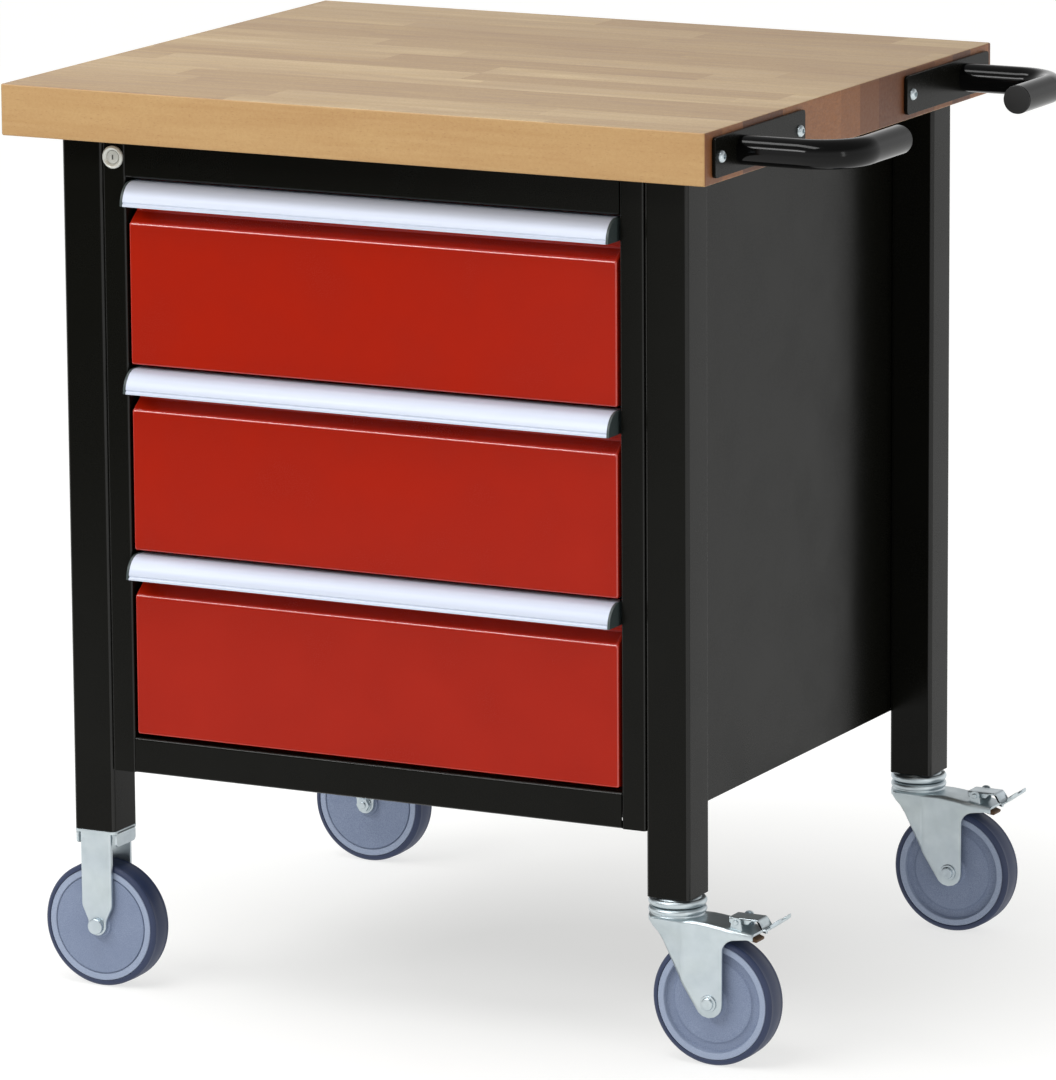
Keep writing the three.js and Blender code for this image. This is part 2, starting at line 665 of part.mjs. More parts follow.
// Swivel fork: lower race, crown plate running back over the wheel, and two raked arms.
function swivelFork() {
  const race = cylinder(RACE_RADIUS - WELD, RACE_HEIGHT, "z", 28);
  race.translate(0, 0, CROWN_TOP + RACE_HEIGHT / 2);
  const end = SWIVEL_TRAIL + CROWN_REACH;
  const arm = new THREE.Shape();
  arm.moveTo(-FORK_RAKE, CROWN_TOP);
  arm.lineTo(-FORK_RAKE, CROWN_TOP - RACE_HEIGHT);
  arm.absarc(SWIVEL_TRAIL, WHEEL_RADIUS, FORK_END, 1.15 * Math.PI, 2 * Math.PI);
  arm.lineTo(SWIVEL_TRAIL + FORK_END, CROWN_UNDER - FORK_END);
  arm.quadraticCurveTo(SWIVEL_TRAIL + FORK_END, CROWN_UNDER, SWIVEL_TRAIL + 2 * FORK_END, CROWN_UNDER);
  arm.lineTo(end, CROWN_UNDER + CROWN_TAIL_RISE);
  arm.lineTo(end, CROWN_TOP - CROWN_THICKNESS);
  arm.lineTo(RACE_RADIUS, CROWN_TOP);
  const half = FORK_OUT;
  const crown = box(
    [-FORK_RAKE, -half, CROWN_TOP - CROWN_THICKNESS],
    [RACE_RADIUS, half, CROWN_TOP + WELD / 2],
  );
  const tailOutline = [
    [RACE_RADIUS - WELD, CROWN_TOP - CROWN_THICKNESS],
    [end, CROWN_TOP - 2 * CROWN_THICKNESS],
    [end, CROWN_TOP - CROWN_THICKNESS],
    [RACE_RADIUS - WELD, CROWN_TOP],
  ];
  const tail = prism(tailOutline, 2 * half, "y");
  return cut(join(race, crown, tail, ...forkArms(arm)), axleHole(SWIVEL_TRAIL));
}

// Brake pedal: a saddle over the crown's tail, a web down behind it, and a two-lobed tread plate that
// rises from the web.
function brakePedal() {
  const under = CROWN_TOP + CROWN_THICKNESS;
  const web = under - 2 * CROWN_THICKNESS - WELD;
  const front = SWIVEL_TRAIL + PEDAL_PIVOT - PEDAL_SADDLE;
  const crownEnd = SWIVEL_TRAIL + CROWN_REACH + WELD;
  const webFoot = SWIVEL_TRAIL + CROWN_REACH + PEDAL_WEB;
  const tip = SWIVEL_TRAIL + PEDAL_TIP;
  const wall = PEDAL_WALL;
  const outline = [
    [front, under],
    [crownEnd, under],
    [webFoot, web],
    [tip - PEDAL_TREAD + WELD, web],
    [tip, web + PEDAL_RISE],
    [tip, web + PEDAL_RISE + wall],
    [tip - PEDAL_TREAD, web + wall],
    [webFoot + wall, web + wall],
    [crownEnd + wall, under + wall],
    [front, under + wall],
  ];
  const notch = box(
    [tip - PEDAL_NOTCH_DEPTH, -PEDAL_NOTCH / 2, web - PEDAL_RISE],
    [tip + WELD, PEDAL_NOTCH / 2, web + 2 * PEDAL_RISE],
  );
  return cut(prism(outline, PEDAL_WIDTH, "y"), notch);
}

function addWheel(castor, corner, x, headSide) {
  const centre = [x, 0, WHEEL_RADIUS];
  add(castor, "axle_" + corner, axle(headSide), zinc, centre);
  add(castor, "wheel_hub_" + corner, hub(), hubPlastic, centre);
  add(castor, "tyre_" + corner, tyre(), tyreRubber, centre);
}

for (const corner of CORNERS) {
  const castor = group(bench, [corner.x, corner.y, 0]);
  const [row, side] = corner.name.split("_");
  if (side === "left") {
    add(castor, "fixed_bracket_" + row, fixedBracket(), zinc);
    addWheel(castor, corner.name, 0, row === "front" ? -1 : 1);
  } else {
    add(castor, "swivel_head_" + row, swivelHead(), zinc);
    add(castor, "swivel_fork_" + row, swivelFork(), zinc);
    add(castor, "brake_pedal_" + row, brakePedal(), zinc);
    addWheel(castor, corner.name, SWIVEL_TRAIL, -1);
  }
}

// ---------- push handles: x from the end of the worktop, y from the outer end of the plate ----------
// Centre line of the tube: out from the plate, round the bend, and along the grip.
class HandlePath extends THREE.Curve {
  constructor(towards) {
    super();
    this.towards = towards;
    this.out = HANDLE_REACH - HANDLE_BEND - HANDLE_PLATE / 2;
    this.turn = (HANDLE_BEND * Math.PI) / 2;
    this.grip = HANDLE_GRIP - HANDLE_BEND;
  }

  getPoint(t) {
    const s = t * (this.out + this.turn + this.grip);
    const start = HANDLE_PLATE / 2;
    if (s <= this.out) return new THREE.Vector3(start + s, 0, 0);
    if (s <= this.out + this.turn) {
      const angle = (s - this.out) / HANDLE_BEND;
      const x = start + this.out + HANDLE_BEND * Math.sin(angle);
      return new THREE.Vector3(x, this.towards * HANDLE_BEND * (1 - Math.cos(angle)), 0);
    }
    const along = HANDLE_BEND + s - this.out - this.turn;
    return new THREE.Vector3(start + this.out + HANDLE_BEND, this.towards * along, 0);
  }
}

function ring(outer, inner) {
  const shape = new THREE.Shape();
  shape.absarc(0, 0, outer, 0, 2 * Math.PI);
  const hole = new THREE.Path();
  hole.absarc(0, 0, inner, 0, 2 * Math.PI);
  shape.holes.push(hole);
  return shape;
}

function pushHandle(towards) {
  const half = HANDLE_PLATE_HEIGHT / 2;
  const low = towards > 0 ? -HANDLE_ARM : HANDLE_ARM - HANDLE_PLATE_LENGTH;
  const plate = box([GAP, low, -half], [HANDLE_PLATE, low + HANDLE_PLATE_LENGTH, half]);
  const tube = new THREE.ExtrudeGeometry(ring(HANDLE_TUBE / 2, HANDLE_TUBE / 2 - HANDLE_WALL), {
    extrudePath: new HandlePath(towards),
    steps: 14,
    curveSegments: 7,
    bevelEnabled: false,
  });
  return join(plate, tube);
}

// Plug pressed into the open end of the grip, with its cap against the tube's edge.
function handlePlug(towards) {
  const stemRadius = HANDLE_TUBE / 2 - HANDLE_WALL - 2 * GAP;
  const stem = cylinder(stemRadius, PLUG_DEPTH + GAP + PLUG_CAP / 2, "y", 16);
  stem.translate(0, (GAP + PLUG_CAP / 2 - PLUG_DEPTH) / 2, 0);
  const cap = cylinder(HANDLE_TUBE / 2 - HANDLE_WALL / 4, PLUG_CAP, "y", 16);
  cap.translate(0, GAP + PLUG_CAP / 2, 0);
  const plug = join(stem, cap);
  return towards > 0 ? plug : plug.rotateZ(Math.PI);
}

for (const [row, towards] of [
  ["front", 1],
  ["rear", -1],
]) {
  const y = -towards * (WORKTOP_DEPTH / 2 - HANDLE_INSET - HANDLE_ARM);
  const handle = group(bench, [WORKTOP_END, y, WORKTOP_BOTTOM + WORKTOP_THICKNESS / 2]);
  add(handle, "push_handle_" + row, pushHandle(towards), blackPaint);
  const tip = [HANDLE_REACH, towards * HANDLE_GRIP, 0];
  add(handle, "handle_plug_" + row, handlePlug(towards), blackPlastic, tip);
}

export default bench;
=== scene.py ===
import math

import bmesh
import bpy
from mathutils import Euler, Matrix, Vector


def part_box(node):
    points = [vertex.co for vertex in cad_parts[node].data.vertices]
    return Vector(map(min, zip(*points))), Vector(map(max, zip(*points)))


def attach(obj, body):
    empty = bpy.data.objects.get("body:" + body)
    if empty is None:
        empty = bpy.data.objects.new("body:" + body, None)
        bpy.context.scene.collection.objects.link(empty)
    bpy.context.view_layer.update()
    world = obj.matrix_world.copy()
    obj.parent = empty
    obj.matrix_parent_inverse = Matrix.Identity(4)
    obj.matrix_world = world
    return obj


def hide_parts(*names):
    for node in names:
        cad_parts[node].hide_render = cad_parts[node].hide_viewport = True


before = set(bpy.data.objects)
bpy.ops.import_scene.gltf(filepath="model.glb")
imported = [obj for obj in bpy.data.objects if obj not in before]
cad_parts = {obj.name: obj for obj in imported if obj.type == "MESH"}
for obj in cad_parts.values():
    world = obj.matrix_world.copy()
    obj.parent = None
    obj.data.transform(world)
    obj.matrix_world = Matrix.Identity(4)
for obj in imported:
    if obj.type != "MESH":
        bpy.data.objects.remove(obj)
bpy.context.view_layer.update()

# ---------- sizes in metres that the frame's boxes don't give ----------
SHEET = 0.0015  # steel sheet of the housing and the drawer fronts
BEND = 0.0026  # outer radius where that sheet is folded
LEG_WALL = 0.0025
LEG_CORNER = 0.004
EASED = 0.002  # rounding of the worktop's edges
POST_LIP = 0.040
FRONT_RECESS = 0.015
FRONT_SLOPE = 0.0116
PULL_ZONE = 0.041
DRAWER_WALL = 0.0012
DRAWER_HEM = 0.008
PULL_NOSE = 0.019
PULL_WALL = 0.002
PULL_FLANGE = 0.014
PULL_CAP = 0.0028
KEYSLOT = (0.0016, 0.0046)
KEYSLOT_DEPTH = 0.008
LOCK_BORE = 0.0065
LOCK_BODY = 0.009
TRAIL = 0.042  # axle behind the swivel axis
WHEEL = 0.0625
TREAD = 0.015  # half of the tyre's width
FORK_OUT = 0.0215
FORK_WALL = 0.0025
CROWN_TOP = 0.1414
HANDLE_TUBE = 0.014
HANDLE_BORE = 0.012
HANDLE_BEND = 0.045
HANDLE_PLATE = 0.0037  # thickness
HANDLE_PLATE_LENGTH = 0.195
HANDLE_ARM = 0.058  # from the plate's outer end to the tube
HANDLE_GRIP = 0.115  # from the arm to the end of the grip
HANDLE_SCREW = 0.0125  # from an end of the plate
SMALLEST_FLAT = 0.006  # in square metres: a face this large isn't a bend
ROWS = ("front", "rear")
LEVELS = ("bottom", "middle", "top")
CORNERS = ("front_left", "front_right", "rear_left", "rear_right")


# ---------- outlines: lists of two-dimensional points ----------
def rounded(corners, steps=4):
    """An outline of (a, b, radius) corners, each turned into an arc of its radius."""
    outline = []
    for i, (a, b, radius) in enumerate(corners):
        here = Vector((a, b))
        if radius == 0:
            outline.append(here)
            continue
        back = (Vector(corners[i - 1][:2]) - here).normalized()
        on = (Vector(corners[(i + 1) % len(corners)][:2]) - here).normalized()
        half = back.angle(on) / 2
        centre = here + (back + on).normalized() * radius / math.sin(half)
        first = here + back * radius / math.tan(half) - centre
        last = here + on * radius / math.tan(half) - centre
        start = math.atan2(first.y, first.x)
        turn = (math.atan2(last.y, last.x) - start + math.pi) % (2 * math.pi) - math.pi
        for step in range(steps + 1):
            angle = start + turn * step / steps
            outline.append(centre + radius * Vector((math.cos(angle), math.sin(angle))))
    return outline


def rectangle(low, high, radius, steps=4):
    corners = [(low[0], low[1]), (high[0], low[1]), (high[0], high[1]), (low[0], high[1])]
    return rounded([(a, b, radius) for a, b in corners], steps)


def arc(centre, radii, start, end, steps):
    """Points on an ellipse from one angle to another, in degrees, both ends included."""
    angles = [math.radians(start + (end - start) * i / steps) for i in range(steps + 1)]
    return [Vector((centre[0] + radii[0] * math.cos(t), centre[1] + radii[1] * math.sin(t))) for t in angles]


# ---------- parts: pairs of a vertex list and a face list ----------
def spatial(point, along, axis):
    """A point of an outline, placed along x, y or z. The outline is (y, z), (x, z) or (x, y)."""
    a, b = point
    return Vector({"x": (along, a, b), "y": (a, along, b), "z": (a, b, along)}[axis])


def loft(loops, closed=False, capped=True):
    """Skins loops that have the same number of points. closed joins the last loop to the first."""
    count = len(loops[0])
    vertices = [Vector(point) for loop in loops for point in loop]
    pairs = list(zip(range(len(loops)), range(1, len(loops))))
    if closed:
        pairs.append((len(loops) - 1, 0))
    faces = []
    for low, high in pairs:
        for i in range(count):
            j = (i + 1) % count
            faces.append((low * count + i, low * count + j, high * count + j, high * count + i))
    if capped and not closed:
        faces.append(tuple(reversed(range(count))))
        faces.append(tuple(range((len(loops) - 1) * count, len(loops) * count)))
    return vertices, faces


def prism(outline, start, end, axis):
    return loft([[spatial(point, along, axis) for point in outline] for along in (start, end)])


def tube(outer, inner, start, end, axis):
    """A prism with a hole. Both outlines have the same number of points."""
    ends = ((outer, start), (outer, end), (inner, end), (inner, start))
    return loft([[spatial(p, along, axis) for p in outline] for outline, along in ends], closed=True)


def lathe(profile, centre, axis="y", segments=64):
    """A closed profile of (radius, height) turned about an axis through centre."""
    vertices, faces, rings = [], [], []
    for radius, height in profile:
        ring = []
        for i in range(1 if radius == 0 else segments):
            angle = 2 * math.pi * i / segments
            flat = (radius * math.cos(angle), radius * math.sin(angle))
            ring.append(len(vertices))
            vertices.append(Vector(centre) + spatial(flat, height, axis))
        rings.append(ring)
    for low, high in zip(rings, rings[1:] + rings[:1]):
        for i in range(segments):
            j = (i + 1) % segments
            corners = (low[i % len(low)], low[j % len(low)], high[j % len(high)], high[i % len(high)])
            distinct = tuple(dict.fromkeys(corners))
            if len(distinct) > 2:
                faces.append(distinct)
    return vertices, faces


def mesh_of(parts):
    """One bmesh from parts, with its normals facing out."""
    made = bmesh.new()
    for vertices, faces in parts:
        corners = [made.verts.new(vertex) for vertex in vertices]
        for face in faces:
            made.faces.new([corners[i] for i in face])
    bmesh.ops.remove_doubles(made, verts=made.verts, dist=1e-6)
    bmesh.ops.recalc_face_normals(made, faces=made.faces)
    return made


def soften(made, width, segments=2, over=30, keep=None):
    """Bevels the edges that turn by more than some degrees. keep says which edges stay sharp."""
    edges = [e for e in made.edges if len(e.link_faces) == 2 and e.calc_face_angle() > math.radians(over)]
    if keep:
        edges = [e for e in edges if not keep(e)]
    shape = {"profile": 0.5, "affect": "EDGES", "clamp_overlap": True}
    bmesh.ops.bevel(made, geom=edges, offset=width, segments=segments, **shape)


def shade(piece, sharp=40):
    piece.data.shade_smooth()
    piece.data.set_sharp_from_angle(angle=math.radians(sharp))
    normals = piece.modifiers.new("normals", "WEIGHTED_NORMAL")
    normals.keep_sharp = True


def on_bend(normal):
    """Whether a face lies on a bend between two of the object's main directions."""
    return max(abs(part) for part in normal) < 0.96


def piece(
    name, body, finish, parts, replaces=(), bevel=0.0, segments=2, wall=0.0, edit=None, sharp=40, bend=None
):
    """An object of parts on a body. finish is a (slot, material) pair, and bend the pair for folds: a lighter
    coat on the small bend faces, a painted highlight along them.

    wall thickens an open surface inwards. edit changes the bmesh before the bevel.
    """
    made = mesh_of(parts)
    if edit:
        edit(made)
    if bevel:
        soften(made, bevel, segments)
    mesh = bpy.data.meshes.new(name)
    made.to_mesh(mesh)
    made.free()
    shown = bpy.data.objects.new(name, mesh)
    bpy.context.scene.collection.objects.link(shown)
    if wall:
        sheet = shown.modifiers.new("wall", "SOLIDIFY")
        sheet.thickness = wall
        sheet.offset = -1
        sheet.use_even_offset = True
    shade(shown, sharp)
    slot, material = finish
    mesh.materials.append(material)
    # Small faces on bends take the lighter coat: a painted highlight along the folds.
    if bend:
        mesh.materials.append(bend[1])
        for face in mesh.polygons:
            face.material_index = int(on_bend(face.normal) and face.area < SMALLEST_FLAT)
    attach(shown, body)
    if replaces:
        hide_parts(*replaces)
    return shown


def middle(node):
    low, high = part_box(node)
    return (low + high) / 2


# ---------- materials ----------
class Finish:
    """A node material: add makes a node, feed links a socket to the shader."""

    def __init__(self, name, **values):
        self.material = bpy.data.materials.new(name)
        self.material.use_nodes = True
        self.tree = self.material.node_tree
        self.shader = self.tree.nodes["Principled BSDF"]
        for socket, value in values.items():
            self.shader.inputs[socket.replace("_", " ")].default_value = value

    def add(self, kind, inputs=None, **settings):
        node = self.tree.nodes.new("ShaderNode" + kind)
        for name, value in settings.items():
            setattr(node, name, value)
        for name, value in (inputs or {}).items():
            if isinstance(value, bpy.types.NodeSocket):
                self.tree.links.new(value, node.inputs[name])
            else:
                node.inputs[name].default_value = value
        return node

    def feed(self, name, socket):
        self.tree.links.new(socket, self.shader.inputs[name])

    def place(self, scale=(1, 1, 1)):
        """The piece's own coordinates in metres, stretched."""
        source = self.add("TexCoord").outputs["Object"]
        return self.add("Mapping", {"Vector": source, "Scale": scale}).outputs["Vector"]

    def math(self, operation, a, b=0.5, c=0.5):
        node = self.add("Math", operation=operation)
        for socket, value in zip(node.inputs, (a, b, c)):
            if isinstance(value, bpy.types.NodeSocket):
                self.tree.links.new(value, socket)
            else:
                socket.default_value = value
        return node.outputs["Value"]

    def noise(self, scale, stretch=(1, 1, 1), detail=3.0, roughness=0.55):
        inputs = {"Vector": self.place(stretch), "Scale": scale, "Detail": detail, "Roughness": roughness}
        return self.add("TexNoise", inputs).outputs["Fac"]

    def spread(self, value, low, high):
        """A value that runs from 0 to 1, mapped to a range."""
        inputs = {"Value": value, "From Min": 0.3, "From Max": 0.7, "To Min": low, "To Max": high}
        return self.add("MapRange", inputs).outputs["Result"]

    def mix(self, share, a, b, blend="MIX"):
        node = self.add("Mix", data_type="RGBA", blend_type=blend)
        for index, value in ((0, share), (6, a), (7, b)):
            if isinstance(value, bpy.types.NodeSocket):
                self.tree.links.new(value, node.inputs[index])
            else:
                node.inputs[index].default_value = value
        return node.outputs[2]

    def bump(self, height, strength, distance):
        inputs = {"Height": height, "Strength": strength, "Distance": distance}
        self.feed("Normal", self.add("Bump", inputs).outputs["Normal"])


def srgb(red, green, blue):
    """A colour given as it shows, from 0 to 255, as linear light."""
    linear = [((c / 255 + 0.055) / 1.055) ** 2.4 if c > 10 else c / 255 / 12.92 for c in (red, green, blue)]
    return (*linear, 1)


def powder_coat(name, colour, deeper, roughness, specular, peel):
    """Sprayed and baked paint: a fine orange peel, and slight cloudiness in colour and gloss."""
    paint = Finish(name, Specular_IOR_Level=specular)
    cloud = paint.noise(14, detail=2)
    grain = paint.noise(900, detail=2)
    paint.feed("Base Color", paint.mix(paint.spread(cloud, 0, 1), colour, deeper))
    drift = 0.03
    broad = paint.spread(cloud, roughness - drift, roughness + drift)
    paint.feed("Roughness", paint.math("ADD", paint.spread(grain, -drift, drift), broad))
    paint.bump(paint.noise(420, detail=3), peel, 0.0004)
    return paint.material


def beech():
    """Staves glued side by side, each with its own tint and grain, and darker end grain on the ends; the
    top's tones are greyer than the sides', a painted sheen.
    """
    wood = Finish("beech", Specular_IOR_Level=0.42)
    own = wood.add("TexCoord")
    split = wood.add("SeparateXYZ", {"Vector": own.outputs["Object"]}).outputs
    row = wood.math("FLOOR", wood.math("DIVIDE", wood.math("ADD", split["Y"], 0.331), 0.0433))
    row_random = wood.add("TexWhiteNoise", {"W": row}, noise_dimensions="1D").outputs["Value"]
    along = wood.math("ADD", split["X"], wood.math("MULTIPLY", row_random, 5.0))
    stave = wood.math("FLOOR", wood.math("DIVIDE", along, wood.math("MULTIPLY_ADD", row_random, 0.12, 0.27)))
    key = wood.add("CombineXYZ", {"X": row, "Y": stave}).outputs["Vector"]
    chance = wood.add("TexWhiteNoise", {"Vector": key}, noise_dimensions="3D")
    facing = wood.add("SeparateXYZ", {"Vector": own.outputs["Normal"]}).outputs
    on_top = wood.math("GREATER_THAN", facing["Z"], 0.7)
    on_end = wood.math("GREATER_THAN", wood.math("ABSOLUTE", facing["X"]), 0.7)
    jointed = wood.math("MAXIMUM", on_top, on_end)
    tint = wood.math("MULTIPLY", chance.outputs["Value"], jointed)
    reach = wood.math("MULTIPLY", jointed, 9.0)
    shift = wood.add("VectorMath", {0: chance.outputs["Color"], "Scale": reach}, operation="SCALE")
    local = wood.add("VectorMath", {0: own.outputs["Object"], 1: shift.outputs["Vector"]}, operation="ADD")

    def grain(scale, stretch, detail, distortion=0.0):
        place = wood.add("Mapping", {"Vector": local.outputs["Vector"], "Scale": stretch}).outputs["Vector"]
        inputs = {"Vector": place, "Scale": scale, "Detail": detail, "Distortion": distortion}
        return wood.add("TexNoise", inputs).outputs["Fac"]

    figure = grain(1, (3.2, 42, 42), 4, 0.6)
    streak = grain(1, (9, 260, 260), 3)
    fleck = grain(1, (260, 1150, 1150), 2)
    patch = grain(1, (4.5, 26, 26), 4, 1.0)
    dust = grain(380, (1, 1, 1), 2)
    # Each tone below has a side value and a top value. The top's greyer, mostly paler values are a painted
    # sheen: the white surroundings reflected at a grazing angle.
    pale = wood.mix(on_top, srgb(176, 144, 96), srgb(204, 180, 138))
    dark = wood.mix(on_top, srgb(162, 126, 80), srgb(158, 128, 92))
    deep = wood.mix(on_top, srgb(148, 104, 60), srgb(132, 94, 66))
    tone = wood.mix(wood.spread(tint, 0.0, 1.0), pale, dark)
    tone = wood.mix(wood.spread(patch, 0.0, 0.5), tone, deep)
    tone = wood.mix(wood.spread(figure, 0.0, 0.8), tone, dark)
    tone = wood.mix(wood.spread(streak, 0.0, 0.5), tone, pale)
    tone = wood.mix(wood.spread(dust, 0.0, 0.22), tone, deep)
    rare = {"From Min": 0.6, "From Max": 0.74, "To Max": 0.35}
    specks = wood.add("MapRange", {"Value": fleck, **rare}).outputs["Result"]
    side = wood.mix(specks, tone, srgb(126, 84, 52))

    rings = grain(1, (30, 95, 300), 3, 1.2)
    pores = grain(1, (700, 700, 700), 2)
    end = wood.mix(wood.spread(tint, 0.0, 1.0), srgb(152, 98, 54), srgb(90, 50, 24))
    end = wood.mix(wood.spread(rings, 0.0, 0.5), end, srgb(112, 66, 34))
    end = wood.mix(wood.spread(pores, 0.0, 0.35), end, srgb(88, 50, 28))
    wood.feed("Base Color", wood.mix(on_end, side, end))

    across = wood.math("FRACT", wood.math("DIVIDE", wood.math("ADD", split["Y"], 0.331), 0.0433))
    from_seam = wood.math("ABSOLUTE", wood.math("SUBTRACT", across, 0.5))
    groove = {"From Min": 0.488, "From Max": 0.5, "To Max": -0.6}
    seam = wood.add("MapRange", {"Value": from_seam, **groove}).outputs["Result"]
    wood.feed("Roughness", wood.spread(streak, 0.42, 0.54))
    wood.bump(wood.math("ADD", seam, wood.math("MULTIPLY", streak, 0.5)), 0.12, 0.0003)
    return wood.material


def anodised():
    """Extruded aluminium, drawn lengthways and satin anodised."""
    metal = Finish("anodised_aluminium", Metallic=0.35, Specular_IOR_Level=0.5)
    drawn = metal.noise(1, (4, 1500, 1500), 2)
    broad = metal.noise(1, (1.5, 120, 120), 2)
    metal.feed("Base Color", metal.mix(metal.spread(broad, 0, 1), srgb(198, 205, 219), srgb(188, 195, 210)))
    metal.feed("Roughness", metal.spread(drawn, 0.52, 0.6))
    metal.bump(drawn, 0.05, 0.0001)
    return metal.material


def zinc():
    """Bright zinc plate with the faint clouds and tints of its passivation."""
    metal = Finish("zinc_plate", Metallic=1.0)
    cloud = metal.noise(55, detail=4)
    tint = metal.noise(21, detail=2)
    scratch = metal.noise(1, (900, 900, 60), 2)
    base = metal.mix(metal.spread(cloud, 0, 1), srgb(198, 208, 214), srgb(186, 197, 204))
    metal.feed("Base Color", metal.mix(metal.spread(tint, 0, 0.35), base, srgb(196, 206, 200)))
    metal.feed("Roughness", metal.spread(cloud, 0.32, 0.42))
    metal.bump(scratch, 0.03, 0.0001)
    return metal.material


def satin_nickel():
    """Fine-blasted nickel plate, pale and nearly white."""
    metal = Finish("satin_nickel", Metallic=0.35, Specular_IOR_Level=0.5)
    grit = metal.noise(2200, detail=2)
    metal.feed("Base Color", metal.mix(metal.spread(grit, 0, 1), srgb(214, 216, 210), srgb(198, 200, 194)))
    metal.feed("Roughness", metal.spread(grit, 0.34, 0.44))
    metal.bump(grit, 0.08, 0.0001)
    return metal.material


def hub_plastic(name, pale, dark):
    """Moulded polypropylene, speckled by a fine sparked texture."""
    plastic = Finish(name, Specular_IOR_Level=0.3)
    speck = plastic.noise(1500, detail=2)
    cloud = plastic.noise(30, detail=2)
    base = plastic.mix(plastic.spread(speck, 0, 1), pale, dark)
    plastic.feed("Base Color", plastic.mix(plastic.spread(cloud, 0, 0.3), base, dark))
    plastic.feed("Roughness", plastic.spread(speck, 0.42, 0.6))
    plastic.bump(speck, 0.2, 0.0002)
    return plastic.material


def tyre_rubber():
    """Grey-blue thermoplastic rubber with a dusty bloom and faint turning marks."""
    rubber = Finish("tyre_rubber", Specular_IOR_Level=0.4)
    bloom = rubber.noise(26, detail=4)
    grain = rubber.noise(1300, detail=2)
    base = rubber.mix(rubber.spread(bloom, 0, 1), srgb(32, 42, 70), srgb(42, 53, 82))
    rubber.feed("Base Color", rubber.mix(rubber.spread(grain, 0, 0.3), base, srgb(58, 70, 98)))
    rubber.feed("Roughness", rubber.spread(bloom, 0.42, 0.58))
    rubber.bump(grain, 0.15, 0.0002)
    return rubber.material


def moulded(name, colour, roughness):
    plastic = Finish(name, Specular_IOR_Level=0.4)
    grain = plastic.noise(1100, detail=3)
    shade_of = [channel * 0.7 for channel in colour[:3]]
    plastic.feed("Base Color", plastic.mix(plastic.spread(grain, 0, 1), colour, (*shade_of, 1)))
    plastic.feed("Roughness", plastic.spread(grain, roughness - 0.06, roughness + 0.06))
    plastic.bump(grain, 0.2, 0.0002)
    return plastic.material


BEECH = ("beech", beech())
BLACK = ("black_paint", powder_coat("black_powder_coat", srgb(12, 12, 9), srgb(10, 10, 7), 0.26, 0.1, 0.05))
GLOSS = ("black_paint", powder_coat("black_gloss_coat", srgb(5, 5, 5), srgb(3, 3, 3), 0.1, 0.2, 0.02))
RED = ("red_paint", powder_coat("red_powder_coat", srgb(151, 25, 5), srgb(146, 23, 4), 0.24, 0.14, 0.04))
# Lighter, glossier copies of the black and red coats for the faces on bends: their lighter colour is a
# painted highlight along the folds and seams.
BLACK_BEND_HIGHLIGHT = (
    "black_paint",
    powder_coat("black_coat_painted_highlight_on_bends", srgb(22, 22, 20), srgb(18, 18, 16), 0.24, 0.3, 0.04),
)
RED_BEND_HIGHLIGHT = (
    "red_paint",
    powder_coat("red_coat_painted_highlight_on_bends", srgb(178, 40, 22), srgb(172, 36, 20), 0.2, 0.95, 0.03),
)
ALUMINIUM = ("aluminium", anodised())
ZINC = ("zinc_steel", zinc())
NICKEL = ("zinc_steel", satin_nickel())
HUB = ("hub_plastic", hub_plastic("hub_plastic", srgb(138, 150, 172), srgb(98, 110, 136)))
# The rim's plastic is a lighter copy of the hub's: painted light on the rim, which leaves the hub inside it
# looking shaded.
LIT_HUB_RIM = ("hub_plastic", hub_plastic("hub_rim_plastic_painted_lighter", srgb(154, 165, 186), srgb(130, 142, 164)))
TYRE = ("tyre_rubber", tyre_rubber())
PLASTIC = ("black_plastic", moulded("black_plastic", srgb(16, 16, 16), 0.5))
CAP = ("black_plastic", moulded("grey_plastic", srgb(62, 72, 72), 0.4))
BRAKE = ("black_plastic", moulded("brake_lining", srgb(88, 62, 36), 0.6))


# ---------- worktop and legs ----------
def make_worktop():
    low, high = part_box("worktop")
    slab = prism(rectangle(low.xy, high.xy, EASED, 3), low.z, high.z, "z")
    piece("worktop.fine", "bench", BEECH, [slab], ["worktop"], bevel=EASED * 0.8, segments=3)


def make_leg(corner):
    low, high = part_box("leg_" + corner)
    wall = Vector((LEG_WALL, LEG_WALL))
    outer = rectangle(low.xy, high.xy, LEG_CORNER, 5)
    inner = rectangle(low.xy + wall, high.xy - wall, LEG_CORNER - LEG_WALL, 5)
    square = tube(outer, inner, low.z, high.z, "z")
    node = "leg_" + corner
    # The rounded corners take the lighter bend coat: a painted highlight down each corner.
    piece(node + ".fine", "bench", BLACK, [square], [node], bevel=0.0004, bend=BLACK_BEND_HIGHLIGHT)


# ---------- housing ----------
def make_housing_side(name, side):
    """Folded side: lip, front flange, wall, rear flange and lip."""
    low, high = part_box("housing_side_" + name)
    inner, outer = (low.x, high.x) if side > 0 else (high.x, low.x)
    s = side * SHEET
    inside = BEND - SHEET
    corners = [
        (inner, low.y + POST_LIP, 0),
        (inner, low.y, BEND),
        (outer, low.y, BEND),
        (outer, high.y, BEND),
        (inner, high.y, BEND),
        (inner, high.y - POST_LIP, 0),
        (inner + s, high.y - POST_LIP, 0),
        (inner + s, high.y - SHEET, inside),
        (outer - s, high.y - SHEET, inside),
        (outer - s, low.y + SHEET, inside),
        (inner + s, low.y + SHEET, inside),
        (inner + s, low.y + POST_LIP, 0),
    ]
    sheet = prism(rounded(corners), low.z, high.z, "z")
    node = "housing_side_" + name
    # The folds take the lighter bend coat: a painted highlight along the seams by the legs.
    piece(node + ".fine", "bench", BLACK, [sheet], [node], bend=BLACK_BEND_HIGHLIGHT)


